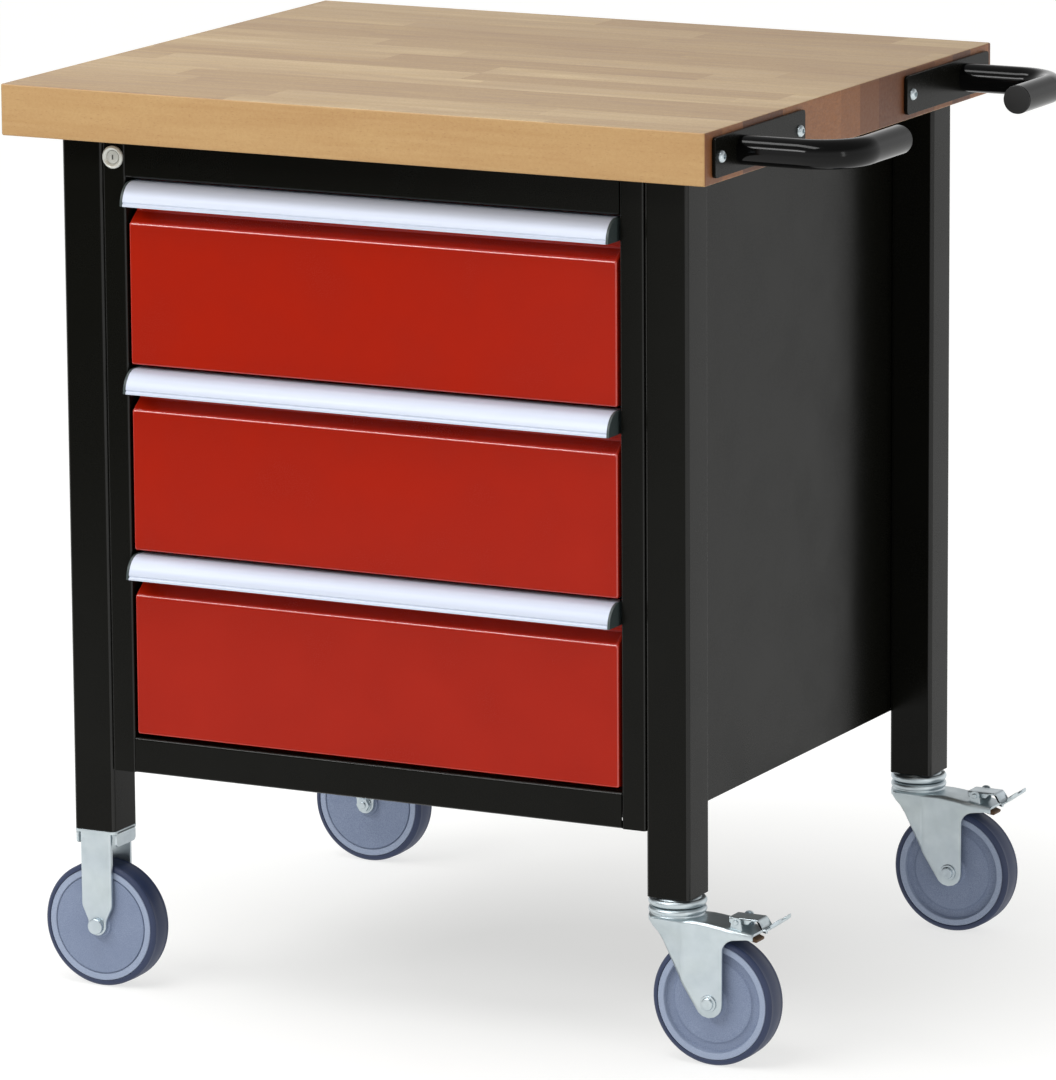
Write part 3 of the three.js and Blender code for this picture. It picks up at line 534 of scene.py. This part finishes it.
def make_rail(node):
    """Folded channel, open to the rear."""
    low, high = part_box(node)
    inside = BEND - SHEET
    corners = [
        (low.y, low.z, BEND),
        (high.y, low.z, 0),
        (high.y, low.z + SHEET, 0),
        (low.y + SHEET, low.z + SHEET, inside),
        (low.y + SHEET, high.z - SHEET, inside),
        (high.y, high.z - SHEET, 0),
        (high.y, high.z, 0),
        (low.y, high.z, BEND),
    ]
    channel = prism(rounded(corners), low.x, high.x, "x")
    # The folds take the lighter bend coat: a painted highlight along the rail's edges.
    piece(node + ".fine", "bench", BLACK, [channel], [node], bend=BLACK_BEND_HIGHLIGHT)


def make_panel(node, axis):
    """Flat sheet with eased edges and rounded corners, facing along an axis."""
    low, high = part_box(node)
    index = "xyz".index(axis)
    flat = [i for i in range(3) if i != index]
    corners = [(low[flat[0]], low[flat[1]]), (high[flat[0]], high[flat[1]])]
    sheet = prism(rectangle(*corners, 0.003), low[index], high[index], axis)
    piece(node + ".fine", "bench", BLACK, [sheet], [node], bevel=0.0003)


# ---------- drawers ----------
def make_drawer_front(name):
    """Folded pan: face, slope, strip and returns, open to the rear."""
    node = "drawer_front_" + name
    low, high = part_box(node)
    face = high.z - PULL_ZONE
    outline = [
        (low.y, low.z),
        (high.y, low.z),
        (high.y, high.z),
        (low.y + FRONT_RECESS, high.z),
        (low.y + FRONT_RECESS, face + FRONT_SLOPE),
        (low.y, face),
    ]

    def fold(made):
        def at_back(edge):
            return all(vertex.co.y > high.y - 1e-5 for vertex in edge.verts)

        soften(made, 0.0024, 4, 20, keep=at_back)
        back = [f for f in made.faces if all(vertex.co.y > high.y - 1e-5 for vertex in f.verts)]
        bmesh.ops.delete(made, geom=back, context="FACES")

    pan = prism(outline, low.x, high.x, "x")
    body = "drawer_" + name
    # The bends take the lighter red coat: a painted highlight along the top fold and the edges.
    piece(node + ".fine", body, RED, [pan], [node], wall=SHEET, edit=fold, sharp=50, bend=RED_BEND_HIGHLIGHT)


def make_drawer_box(name):
    """Open box with a rolled rim, and the catch for the locking bar on its left side."""
    node = "drawer_box_" + name
    low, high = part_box(node)
    half = high.x - middle("worktop").x
    left, right = middle("worktop").x - half, high.x
    levels = [
        (0.0020, 0.0010, low.z),
        (0.0006, 0.0022, low.z + 0.0006),
        (0.0, 0.003, low.z + 0.002),
        (0.0, 0.003, high.z - 0.0015),
        (0.0005, 0.0028, high.z - 0.0004),
        (0.0015, 0.0024, high.z),
        (DRAWER_HEM - 0.001, 0.0020, high.z),
        (DRAWER_HEM, 0.0016, high.z - 0.001),
        (DRAWER_HEM, 0.0016, high.z - 0.007),
    ]
    loops = []
    for inset, radius, z in levels:
        outline = rectangle((left + inset, low.y + inset), (right - inset, high.y - inset), radius)
        loops.append([spatial(point, z, "z") for point in outline])
    vertices, faces = loft(loops)
    faces.pop()
    body = "drawer_" + name
    piece(node + ".fine", body, RED, [(vertices, faces)], [node], wall=DRAWER_WALL, sharp=50)
    catch_low, catch_high = low.z + 0.0725, low.z + 0.0825
    outline = rectangle((low.x, catch_low), (left + DRAWER_WALL / 2, catch_high), 0.001)
    catch_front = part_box("locking_bar")[1].y + 0.0003
    lug = prism(outline, catch_front, catch_front + 0.006, "y")
    piece("drawer_catch_" + name, body, RED, [lug], bevel=0.0004)


def nose(node):
    """The pull's outer line in (y, z), from the flat top down round the nose, with its lower groove."""
    low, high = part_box(node)
    centre = (low.y + PULL_NOSE, low.z)
    drop = high.z - low.z
    line = arc(centre, (PULL_NOSE, drop), 90, 180, 22)
    for point in line:
        above = point.y - low.z
        if 0.0018 < above < 0.0045:
            point.x += 0.0011
    return line


def make_pull(name):
    """Extruded pull: flat top, rounded nose and a flange screwed to the strip, and a cap at each end."""
    node = "drawer_pull_" + name
    low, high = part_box(node)
    line = nose(node)
    wall = PULL_WALL
    centre = (low.y + PULL_NOSE, low.z)
    inner = arc(centre, (PULL_NOSE - wall, high.z - low.z - wall), 180, 90, 16)
    flange = high.z - PULL_FLANGE
    back = [(high.y - wall, high.z - wall), (high.y - wall, flange), (high.y, flange), (high.y, high.z)]
    outline = line + inner + [Vector(point) for point in back]
    body = "drawer_" + name
    bar = prism(outline, low.x, high.x, "x")
    piece(node + ".fine", body, ALUMINIUM, [bar], [node], sharp=35)
    filled = arc(centre, (PULL_NOSE + 0.0002, high.z - low.z + 0.0002), 90, 180, 22)
    filled += [Vector((high.y, low.z)), Vector((high.y, high.z + 0.0002))]
    for side, x, out in (("left", low.x, -PULL_CAP), ("right", high.x, PULL_CAP)):
        cap = prism(filled, min(x, x + out), max(x, x + out), "x")
        piece("pull_cap_" + name + "_" + side, body, CAP, [cap], bevel=0.0005)


# ---------- lock ----------
def make_lock():
    centre = middle("lock_plug")
    low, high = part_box("lock_housing")
    centre.x = (low.x + high.x) / 2
    centre.z = (low.z + high.z) / 2
    ring = (high.x - low.x) / 2
    seat = low.y + 0.0035
    profile = [
        (LOCK_BORE, low.y + 0.0026),
        (LOCK_BORE + 0.0005, low.y + 0.0019),
        (ring - 0.0024, low.y + 0.0002),
        (ring - 0.0017, low.y),
        (ring - 0.0009, low.y + 0.0004),
        (ring, low.y + 0.0014),
        (ring, seat),
        (LOCK_BODY, seat),
        (LOCK_BODY, high.y),
        (LOCK_BORE, high.y),
    ]
    turned = lathe(profile, (centre.x, 0, centre.z))
    piece("lock_housing.fine", "bench", NICKEL, [turned], ["lock_housing"])
    low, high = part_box("lock_plug")
    radius = LOCK_BORE - 0.0001
    count = 24
    disc = arc((centre.x, centre.z), (radius, radius), 0, 360 - 360 / count, count - 1)
    width, height = KEYSLOT[0] / 2, KEYSLOT[1] / 2
    slot = []
    for point in disc:
        across = max(-width, min(width, (point.x - centre.x) * 0.8))
        up = max(-height, min(height, (point.y - centre.z) * 0.8))
        slot.append(Vector((centre.x + across, centre.z + up)))
    head = tube(disc, slot, low.y + 0.0012, low.y + KEYSLOT_DEPTH, "y")
    tail = prism(disc, low.y + KEYSLOT_DEPTH, high.y, "y")
    cam_outline = rectangle((centre.x, centre.z - 0.0031), (high.x, centre.z + 0.0031), 0.001)
    cam = prism(cam_outline, high.y - 0.0025, high.y, "y")
    piece("lock_plug.fine", "lock_plug", NICKEL, [head, tail, cam], ["lock_plug"], bevel=0.0001)


# ---------- castors ----------
def make_wheel(corner):
    """Hub and tyre. The fixed castors have a flat hub with a groove, the swivel ones a dished hub."""
    centre = middle("wheel_hub_" + corner)  # half and rim are (radius, distance from the middle), in mm
    body = "wheel_" + corner
    if corner.endswith("left"):
        half = [(49.8, 12.8), (49.2, 12.8), (48.9, 14.0), (48.4, 14.4), (15.0, 14.4), (13.6, 14.9)]
        half += [(13.0, 15.8), (12.6, 17.4), (4.4, 17.5)]
    else:
        half = [(49.8, 11.0), (48.6, 9.6), (46.0, 9.2), (42.6, 9.3), (41.2, 9.9), (40.2, 11.1), (38.0, 11.6)]
        half += [(26.0, 11.8), (18.5, 11.4), (15.4, 12.0), (13.8, 13.4), (13.0, 15.0), (12.6, 17.4)]
        half += [(4.4, 17.5)]
    rim = [(49.6, 12.2), (50.2, 14.1), (50.8, 14.6), (55.8, 14.6), (56.4, 14.2)]
    node = "wheel_hub_" + corner
    # The rim gets the lighter copy of the hub plastic: painted light against the hub's middle.
    for label, finish, points in ((node + ".fine", HUB, half), ("hub_rim_" + corner, LIT_HUB_RIM, rim)):
        points = [(radius / 1000, y / 1000) for radius, y in points]
        profile = [(radius, -y) for radius, y in reversed(points)] + points
        turned = lathe(profile, centre, segments=96)
        piece(label, body, finish, [turned], [node], sharp=30)
    outer, inner, edge = WHEEL, 0.0568, TREAD
    side = [(inner, edge - 0.0004), (inner + 0.0006, edge)]
    shoulder = arc((outer - 0.0052, edge - 0.0052), (0.0052, 0.0052), 90, 22, 6)
    crown = arc((outer - 0.0600, 0), (0.0600, 0.0600), 8.6, 0, 4)
    half = side + [tuple(point) for point in shoulder] + [tuple(point) for point in crown]
    profile = half + [(radius, -y) for radius, y in reversed(half[:-1])]
    tyre = lathe(profile, centre, segments=128)
    piece("tyre_" + corner + ".fine", body, TYRE, [tyre], ["tyre_" + corner], sharp=30)


def bolt_head(side):
    """Flat round head from (radius, distance from the fork) points."""
    seat = FORK_OUT + 0.0003
    profile = [(0, 0), (0.0080, 0), (0.0080, 0.0036), (0.0072, 0.0045), (0, 0.0046)]
    return [(radius, side * (seat + y)) for radius, y in profile]


def rivet_head(side):
    """Washer with a low domed head on it."""
    seat = FORK_OUT + 0.0003
    heights = [(0, 0), (0.0082, 0), (0.0082, 0.0010), (0.0078, 0.0014), (0.0060, 0.0015), (0.0060, 0.0034)]
    heights += [(0.0054, 0.0042), (0.0034, 0.0045), (0.0026, 0.0043), (0, 0.0042)]
    return [(radius, side * (seat + y)) for radius, y in heights]


def nut(centre, side):
    """Hexagon nut on a washer, with the end of the bolt standing out of it."""
    seat = FORK_OUT + 0.0003
    hexagon = arc((centre.x, centre.z), (0.0075, 0.0075), 0, 300, 5)
    ends = sorted((centre.y + side * (seat + 0.0012), centre.y + side * (seat + 0.0042)))
    washer = [(0, side * seat), (0.0082, side * seat), (0.0082, side * (seat + 0.0012))]
    washer += [(0, side * (seat + 0.0012))]
    stub = [(0, side * (seat + 0.0042)), (0.0038, side * (seat + 0.0042)), (0.0038, side * (seat + 0.0052))]
    stub += [(0.0030, side * (seat + 0.0058)), (0, side * (seat + 0.0058))]
    return [lathe(washer, centre, segments=32), prism(hexagon, *ends, "y"), lathe(stub, centre, segments=24)]


def make_axle(corner, body):
    node = "axle_" + corner
    centre = middle("wheel_hub_" + corner)
    end = FORK_OUT + 0.0005
    shank = [(0, -end), (0.004, -end), (0.004, end), (0, end)]
    head_side = 1 if corner == "rear_left" else -1
    head = rivet_head(head_side) if corner.endswith("right") else bolt_head(head_side)
    parts = [lathe(shank, centre, segments=32), lathe(head, centre, segments=48), *nut(centre, -head_side)]
    piece(node + ".fine", body, ZINC, parts, [node], bevel=0.0003, sharp=35)


def arm_section(half, depth):
    """A pressed channel in (x, inwards): a flat web with rounded edges turned in."""
    wall = min(FORK_WALL, half * 0.5)
    fold = min(0.0022, half * 0.6)
    outer = [(-half, depth, 0), (-half, 0, fold), (half, 0, fold), (half, depth, 0)]
    inner = [(half - wall, depth, 0), (half - wall, wall, 0), (wall - half, wall, 0), (wall - half, depth, 0)]
    return rounded(outer + inner)


def make_fixed_bracket(row):
    """Square cap with turned-down rims, and two straight pressed arms that taper to a round end."""
    node = "fixed_bracket_" + row
    low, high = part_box(node)
    x, y = middle(node).xy
    axle = middle("wheel_hub_" + row + "_left").z
    half, end = 0.017, 0.010
    stations = [(high.z - 0.0012, half), (axle + 0.023, half), (axle + 0.0205, half - 0.0002)]
    stations += [(axle + 0.018, half - 0.0008), (axle + 0.015, half - 0.0022), (axle + 0.008, end + 0.0015)]
    stations += [(axle + 0.005, end + 0.0004), (axle + 0.0025, end)]
    for degrees in (0, 15, 30, 45, 60, 72):
        angle = math.radians(degrees)
        stations.append((axle - end * math.sin(angle), end * math.cos(angle)))
    parts = [prism(rectangle(low.xy, high.xy, 0.005), high.z - 0.003, high.z, "z")]
    for side in (-1, 1):
        loops = []
        for z, width in stations:
            section = arm_section(width, 0.0045)
            loops.append([Vector((x + p.x, y + side * (FORK_OUT - p.y), z)) for p in section])
        parts.append(loft(loops))
        rim = sorted((x + side * (high.x - x), x + side * (high.x - x - FORK_WALL)))
        drop = rectangle((y - 0.0185, high.z - 0.016), (y + 0.0185, high.z - 0.001), 0.004)
        parts.append(prism(drop, *rim, "x"))
    piece(node + ".fine", "bench", ZINC, parts, [node], bevel=0.0005, sharp=35)


def make_swivel_head(row):
    """Upper race: a collar under the leg and a rolled bead."""
    node = "swivel_head_" + row
    centre = middle(node)
    low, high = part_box(node)
    radius = (high.x - low.x) / 2
    bead = arc((radius - 0.0034, low.z + 0.0040), (0.0034, 0.0037), 65, -85, 10)
    collar = [(0, high.z), (radius - 0.0075, high.z), (radius - 0.0062, high.z - 0.0006)]
    collar += [(radius - 0.0052, high.z - 0.002)]
    profile = collar + [tuple(point) for point in bead] + [(radius - 0.006, low.z), (0, low.z)]
    turned = lathe(profile, (centre.x, centre.y, 0), "z", 72)
    piece(node + ".fine", "bench", ZINC, [turned], [node], sharp=50)


def fork_lower_edge(x):
    """Height of the fork's lower edge at a distance x behind the swivel axis."""
    radius = 0.014
    if x < TRAIL - 0.0125:
        share = (x + 0.024) / (TRAIL - 0.0125 + 0.024)
        return 0.1385 + share * (WHEEL - 0.0063 - 0.1385)
    if x <= TRAIL + radius:
        return WHEEL - math.sqrt(max(radius**2 - (x - TRAIL) ** 2, 0))
    throat = TRAIL + 2 * radius
    if x < throat:
        rise = math.sqrt(max(1 - ((throat - x) / radius) ** 2, 0))
        return 0.1135 + 0.0135 * rise
    return 0.127 + 0.0015 * (x - throat) / 0.016


def fork_half_width(x, height):
    """Half of the fork's width: flat arms, a wing that turns in ahead of the fold, and a round crown."""
    fold = 0.014
    if x > 0.062:
        return FORK_OUT - 0.0045 * ((x - 0.062) / 0.024) ** 1.5
    if x > fold + 0.002:
        return FORK_OUT
    ahead = fold + 0.002 - x
    wing = FORK_OUT - 0.36 * ahead if ahead > 0.004 else FORK_OUT - 0.09 * ahead * ahead / 0.002
    ring = math.sqrt(max(0.0281**2 - x * x, 1e-8))
    crown = min(FORK_OUT, ring) if x < 0.018 else FORK_OUT
    share = min(max((height - 0.118) / (CROWN_TOP - 0.118), 0), 1)
    share = share * share * (3 - 2 * share)
    return wing + (max(crown, wing) - wing) * share


def fork_sheet(x0, y0):
    """The pressed fork as one skin: at each x, up one arm, over the crown and down the other arm."""
    stations = [-0.0279, -0.0274, -0.0262, -0.0245, -0.022, -0.019, -0.015, -0.010, -0.004]
    stations += [0.002, 0.006, 0.009]
    stations += [0.011, 0.0125, 0.014, 0.0155, 0.017, 0.020, 0.024, 0.0275]
    stations += [TRAIL + step for step in (-0.0125, -0.010, -0.006, 0, 0.006, 0.010, 0.0125)]
    stations += [TRAIL + 0.0137, TRAIL + 0.014, TRAIL + 0.0142, TRAIL + 0.015, TRAIL + 0.017, TRAIL + 0.020]
    stations += [TRAIL + 0.024, TRAIL + 0.028, TRAIL + 0.033, TRAIL + 0.038, TRAIL + 0.043, TRAIL + 0.044]
    round_top = 0.004
    columns = []
    for x in stations:
        top = CROWN_TOP - 0.0085 * max(0.0, (x - 0.028) / 0.058) ** 1.4
        bottom = min(fork_lower_edge(x), top - 0.006)
        line = []
        for step in range(13):
            height = bottom + (top - round_top - bottom) * step / 12
            line.append((fork_half_width(x, height), height))
        width = fork_half_width(x, top)
        corner = min(round_top, width * 0.6)
        for angle in (22.5, 45, 67.5, 90):
            a = math.radians(angle)
            line.append((width - corner + corner * math.cos(a), top - corner + corner * math.sin(a)))
        line += [(line[-1][0] * share, top) for share in (0.66, 0.33)]
        full = [(-y, z) for y, z in line] + [(0, top)] + [(y, z) for y, z in reversed(line)]
        columns.append([Vector((x0 + x, y0 + y, z)) for y, z in full])
    count = len(columns[0])
    vertices = [vertex for column in columns for vertex in column]
    faces = []
    for i in range(len(columns) - 1):
        for j in range(count - 1):
            a = i * count + j
            faces.append((a, a + 1, a + count + 1, a + count))
    return vertices, faces


def make_swivel_fork(row):
    node = "swivel_fork_" + row
    body = "swivel_" + row
    x, y = middle("swivel_head_" + row).xy
    piece(node + ".fine", body, ZINC, [fork_sheet(x, y)], [node], wall=FORK_WALL, sharp=60)
    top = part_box(node)[1].z
    bead = arc((0.0243, top - 0.0035), (0.0037, 0.0034), 80, -80, 10)
    foot = arc((0.0285, CROWN_TOP + 0.0016), (0.0035, 0.0022), 150, 250, 5)
    profile = [(0, top), (0.022, top)] + [tuple(point) for point in bead + foot]
    profile += [(0.025, CROWN_TOP - 0.001)]
    profile += [(0, CROWN_TOP - 0.001)]
    piece("swivel_race_" + row, body, ZINC, [lathe(profile, (x, y, 0), "z", 72)], sharp=50)
    pivot = Vector((x + TRAIL + 0.026, y, 0.143))
    parts = []
    for side in (-1, 1):
        ear = [(pivot.x - 0.006, 0.1345, 0), (pivot.x + 0.006, 0.1345, 0), (pivot.x + 0.0045, 0.1478, 0.004)]
        ear += [(pivot.x - 0.0045, 0.1478, 0.004)]
        near, far = sorted((y + side * 0.0135, y + side * 0.0155))
        parts.append(prism(rounded(ear), near, far, "y"))
    pin = [(0, -0.0172), (0.0022, -0.0172), (0.0027, -0.0166)]
    pin += [(radius, -y) for radius, y in reversed(pin)]
    parts.append(lathe(pin, pivot, segments=24))
    piece("pedal_pin_" + row, body, ZINC, parts, bevel=0.0004)
    shoe = [(0.077, 0.1245, 0.001), (0.086, 0.1232, 0.0015), (0.088, 0.1262, 0.0015), (0.080, 0.1290, 0.001)]
    outline = rounded([(x + a, b, radius) for a, b, radius in shoe])
    piece("brake_lining_" + row, body, BRAKE, [prism(outline, y - 0.008, y + 0.008, "y")], bevel=0.0008)


def make_pedal(row):
    """Saddle over the crown's tail, a web behind it and a two-lobed tread plate."""
    node = "brake_pedal_" + row
    x, y = middle("swivel_head_" + row).xy
    under = CROWN_TOP + 0.003
    wall = 0.0022
    low = under - 0.0085
    line = [(0.0585, under, 0), (0.0895, under, 0.003), (0.0925, low, 0.003), (0.0975, low, 0.004)]
    line += [(0.1115, under + 0.0015, 0)]
    upper = [(a - 0.0004, b + wall, radius) for a, b, radius in reversed(line)]
    upper[1] = (upper[1][0] - 0.0002, upper[1][1], 0.004)
    outline = rounded([(x + a, b, radius) for a, b, radius in line + upper], 3)
    blade = prism(outline, y - 0.0105, y + 0.0105, "y")
    parts = [blade]
    for side in (-1, 1):
        lobe = rounded(
            [
                (x + 0.0985, y + side * 0.004, 0.001),
                (x + 0.1035, y + side * 0.0165, 0.004),
                (x + 0.1120, y + side * 0.0165, 0.004),
                (x + 0.1120, y + side * 0.0045, 0.004),
            ]
        )
        slope = 0.010 / 0.014
        loops = []
        for lift in (0.0002, 0.0016, 0.0034, 0.0044):
            rises = [slope * max(0.0, point.x - x - 0.0975) for point in lobe]
            loops.append([Vector((*point, low + lift + rise)) for point, rise in zip(lobe, rises)])
        parts.append(loft(loops))
        flank = [(0.0585, under - 0.004, 0.002), (0.078, under - 0.004, 0.002), (0.084, under + wall, 0)]
        flank += [(0.0585, under + wall, 0)]
        near, far = sorted((y + side * 0.0105, y + side * 0.0085))
        parts.append(prism(rounded([(x + a, b, radius) for a, b, radius in flank]), near, far, "y"))
    piece(node + ".fine", "brake_pedal_" + row, ZINC, parts, [node], bevel=0.0009, segments=3)


# ---------- push handles ----------
def tube_along(path, outer, inner, segments=40):
    """A tube with open ends along a level path."""
    loops = []
    for radius, points in ((outer, path), (inner, list(reversed(path)))):
        for point, direction in points:
            across = Vector((-direction.y, direction.x, 0))
            ring = []
            for i in range(segments):
                angle = 2 * math.pi * i / segments
                ring.append(point + radius * (math.cos(angle) * across + math.sin(angle) * Vector((0, 0, 1))))
            loops.append(ring)
    return loft(loops, closed=True)


def make_handle(row, towards):
    """Screwed plate, bent tube and end plug. towards is 1 if the grip points to the rear."""
    node = "push_handle_" + row
    low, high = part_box(node)
    plate_x = low.x + HANDLE_PLATE
    plug = middle("handle_plug_" + row)
    z = plug.z
    grip_x = high.x - HANDLE_TUBE
    outer_y = low.y if towards > 0 else high.y
    arm_y = outer_y + towards * HANDLE_ARM
    far_y = outer_y + towards * HANDLE_PLATE_LENGTH
    half = (high.z - low.z) / 2
    outline = rectangle((min(outer_y, far_y), z - half), (max(outer_y, far_y), z + half), 0.004)
    plate = prism(outline, low.x, plate_x, "x")
    piece(node + "_plate", "bench", BLACK, [plate], bevel=0.0006)
    bend_x = grip_x - HANDLE_BEND
    end_y = arm_y + towards * HANDLE_GRIP
    path = [(Vector((plate_x - 0.001, arm_y, z)), Vector((1, 0, 0)))]
    steps = 16
    for step in range(steps + 1):
        angle = math.pi / 2 * step / steps
        out, over = math.sin(angle), 1 - math.cos(angle)
        point = Vector((bend_x + HANDLE_BEND * out, arm_y + towards * HANDLE_BEND * over, z))
        path.append((point, Vector((math.cos(angle), towards * math.sin(angle), 0))))
    path.append((Vector((grip_x, end_y, z)), Vector((0, towards, 0))))
    bar = tube_along(path, HANDLE_TUBE, HANDLE_BORE)
    piece(node + ".fine", "bench", GLOSS, [bar], [node], bevel=0.0003)
    screws = []
    for y in (outer_y + towards * HANDLE_SCREW, far_y - towards * HANDLE_SCREW):
        dome = [(0, 0), (0.0058, 0), (0.0058, 0.0006), (0.0052, 0.0021), (0.0040, 0.0031), (0.0026, 0.0036)]
        dome += [(0.0022, 0.0035), (0.0020, 0.0018), (0, 0.0016)]
        screws.append(lathe(dome, (plate_x, y, z), "x", 32))
    piece("handle_screws_" + row, "bench", ZINC, screws)
    cap_start = end_y + towards * 0.0003
    cap = [(0, 0), (0.0118, 0), (0.0118, 0.0003), (0.0137, 0.0003), (0.0137, 0.0010)]
    cap += [(0.0130, 0.0015), (0, 0.0015)]
    cap = [(radius, towards * height) for radius, height in cap]
    stem = [(0, -0.012), (0.0108, -0.012), (0.0113, -0.011), (0.0113, 0), (0, 0)]
    stem = [(radius, towards * height) for radius, height in stem]
    parts = [lathe(profile, (grip_x, cap_start, z), "y", 40) for profile in (cap, stem)]
    piece("handle_plug_" + row + ".fine", "bench", PLASTIC, parts, ["handle_plug_" + row])


# ---------- carried-over nodes ----------
def dress_cad_nodes():
    """The slides and the locking bar stay as the frame has them, with eased edges and zinc plate."""
    nodes = ["locking_bar"]
    for name in LEVELS:
        for side in ("left", "right"):
            nodes += ["slide_rail_" + name + "_" + side, "slide_runner_" + name + "_" + side]
    for node in nodes:
        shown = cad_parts[node]
        shown.data.materials.clear()
        shown.data.materials.append(ZINC[1])
        eased = shown.modifiers.new("eased", "BEVEL")
        eased.width = 0.0003
        eased.segments = 2


# ---------- stage, lights and camera ----------
def make_camera():
    azimuth, elevation, roll = map(math.radians, (27.173, 11.803, -0.385))
    camera = bpy.data.cameras.new("camera")
    camera.lens = 253.4
    camera.sensor_width = 36
    camera.clip_end = 60
    holder = bpy.data.objects.new("camera", camera)
    bpy.context.scene.collection.objects.link(holder)
    holder.location = (3.309, -6.521, 1.959)
    turn = Euler((math.pi / 2 - elevation, 0, azimuth)).to_matrix() @ Euler((0, 0, roll)).to_matrix()
    holder.rotation_euler = turn.to_euler()
    bpy.context.scene.camera = holder


def make_floor():
    """Pale paper with a glow of its own, which is weaker under the bench: a painted shadow there."""
    paper = Finish("white_table", Roughness=0.9, Specular_IOR_Level=0.1)
    cloud = paper.noise(5, detail=3)
    own = paper.add("TexCoord").outputs["Object"]
    away = paper.add("VectorMath", {"Vector": own}, operation="LENGTH").outputs["Value"]
    # The glow falls off towards the middle, under the bench: a painted shadow.
    painted_shadow_limits = {"From Min": 0.15, "From Max": 0.75, "To Min": 0.58, "To Max": 0.84}
    paper.feed("Emission Strength", paper.add("MapRange", {"Value": away, **painted_shadow_limits}).outputs["Result"])
    pale, deeper = (0.33, 0.33, 0.325, 1), (0.32, 0.32, 0.315, 1)
    paper.feed("Base Color", paper.mix(paper.spread(cloud, 0, 1), pale, deeper))
    paper.shader.inputs["Emission Color"].default_value = (1, 1, 0.99, 1)
    reach = 14
    floor = bpy.data.meshes.new("floor")
    corners = [(-reach, -reach, 0), (reach, -reach, 0), (reach, reach, 0), (-reach, reach, 0)]
    floor.from_pydata(corners, [], [(0, 1, 2, 3)])
    floor.materials.append(paper.material)
    shown = bpy.data.objects.new("floor", floor)
    bpy.context.scene.collection.objects.link(shown)


def make_flag(name, left, right, height):
    """A standing dark card that only reflections see."""
    card = bpy.data.meshes.new(name)
    corners = [(*left, 0.01), (*right, 0.01), (*right, height), (*left, height)]
    card.from_pydata(corners, [], [(0, 1, 2, 3)])
    felt = Finish("black_felt", Roughness=1.0, Specular_IOR_Level=0.0)
    felt.feed("Base Color", felt.mix(felt.noise(300), (0.02, 0.02, 0.02, 1), (0.03, 0.03, 0.03, 1)))
    card.materials.append(felt.material)
    shown = bpy.data.objects.new(name, card)
    bpy.context.scene.collection.objects.link(shown)
    shown.visible_camera = shown.visible_diffuse = shown.visible_shadow = False


def make_light(name, place, aim, size, power):
    light = bpy.data.lights.new(name, "AREA")
    light.shape = "RECTANGLE"
    light.size, light.size_y = size
    light.energy = power
    shown = bpy.data.objects.new(name, light)
    bpy.context.scene.collection.objects.link(shown)
    shown.location = place
    shown.rotation_euler = (Vector(aim) - Vector(place)).to_track_quat("-Z", "Y").to_euler()


def make_world():
    world = bpy.data.worlds.new("studio")
    world.use_nodes = True
    tree = world.node_tree
    aim = tree.nodes.new("ShaderNodeTexCoord")
    split = tree.nodes.new("ShaderNodeSeparateXYZ")
    fade = tree.nodes.new("ShaderNodeMapRange")
    for socket, value in (("From Min", 0.25), ("From Max", 0.6), ("To Min", 1.0), ("To Max", 0.32)):
        fade.inputs[socket].default_value = value
    tree.links.new(aim.outputs["Generated"], split.inputs["Vector"])
    tree.links.new(split.outputs["Z"], fade.inputs["Value"])
    tree.links.new(fade.outputs["Result"], tree.nodes["Background"].inputs["Strength"])
    tree.nodes["Background"].inputs["Color"].default_value = (1, 1, 1, 1)
    bpy.context.scene.world = world
    view = bpy.context.scene.view_settings
    view.view_transform = "Standard"
    view.look = "None"


make_camera()
make_world()
make_floor()
make_light("key", (-1.35, -2.6, 2.36), (0, -0.3, 0.6), (2.8, 0.5), 54)
make_light("overhead", (-0.8, -0.9, 3.2), (-0.2, 0, 0.7), (3.6, 0.6), 46)
make_light("side", (3.6, -1.9, 1.3), (0, 0, 0.6), (0.35, 2.2), 8)
make_flag("left_flag", (-2.1, -1.5), (-0.9, -2.4), 1.3)

make_worktop()
for corner in CORNERS:
    make_leg(corner)
make_housing_side("left", -1)
make_housing_side("right", 1)
for node in ("top_rail", "bottom_rail", "rear_tie"):
    make_rail(node)
make_panel("back_panel", "y")
make_panel("floor_panel", "z")
for name in LEVELS:
    make_drawer_front(name)
    make_drawer_box(name)
    make_pull(name)
make_lock()
for corner in CORNERS:
    make_wheel(corner)
for row in ROWS:
    make_fixed_bracket(row)
    make_axle(row + "_left", "bench")
    make_swivel_head(row)
    make_swivel_fork(row)
    make_axle(row + "_right", "swivel_" + row)
    make_pedal(row)
make_handle("front", 1)
make_handle("rear", -1)
dress_cad_nodes()
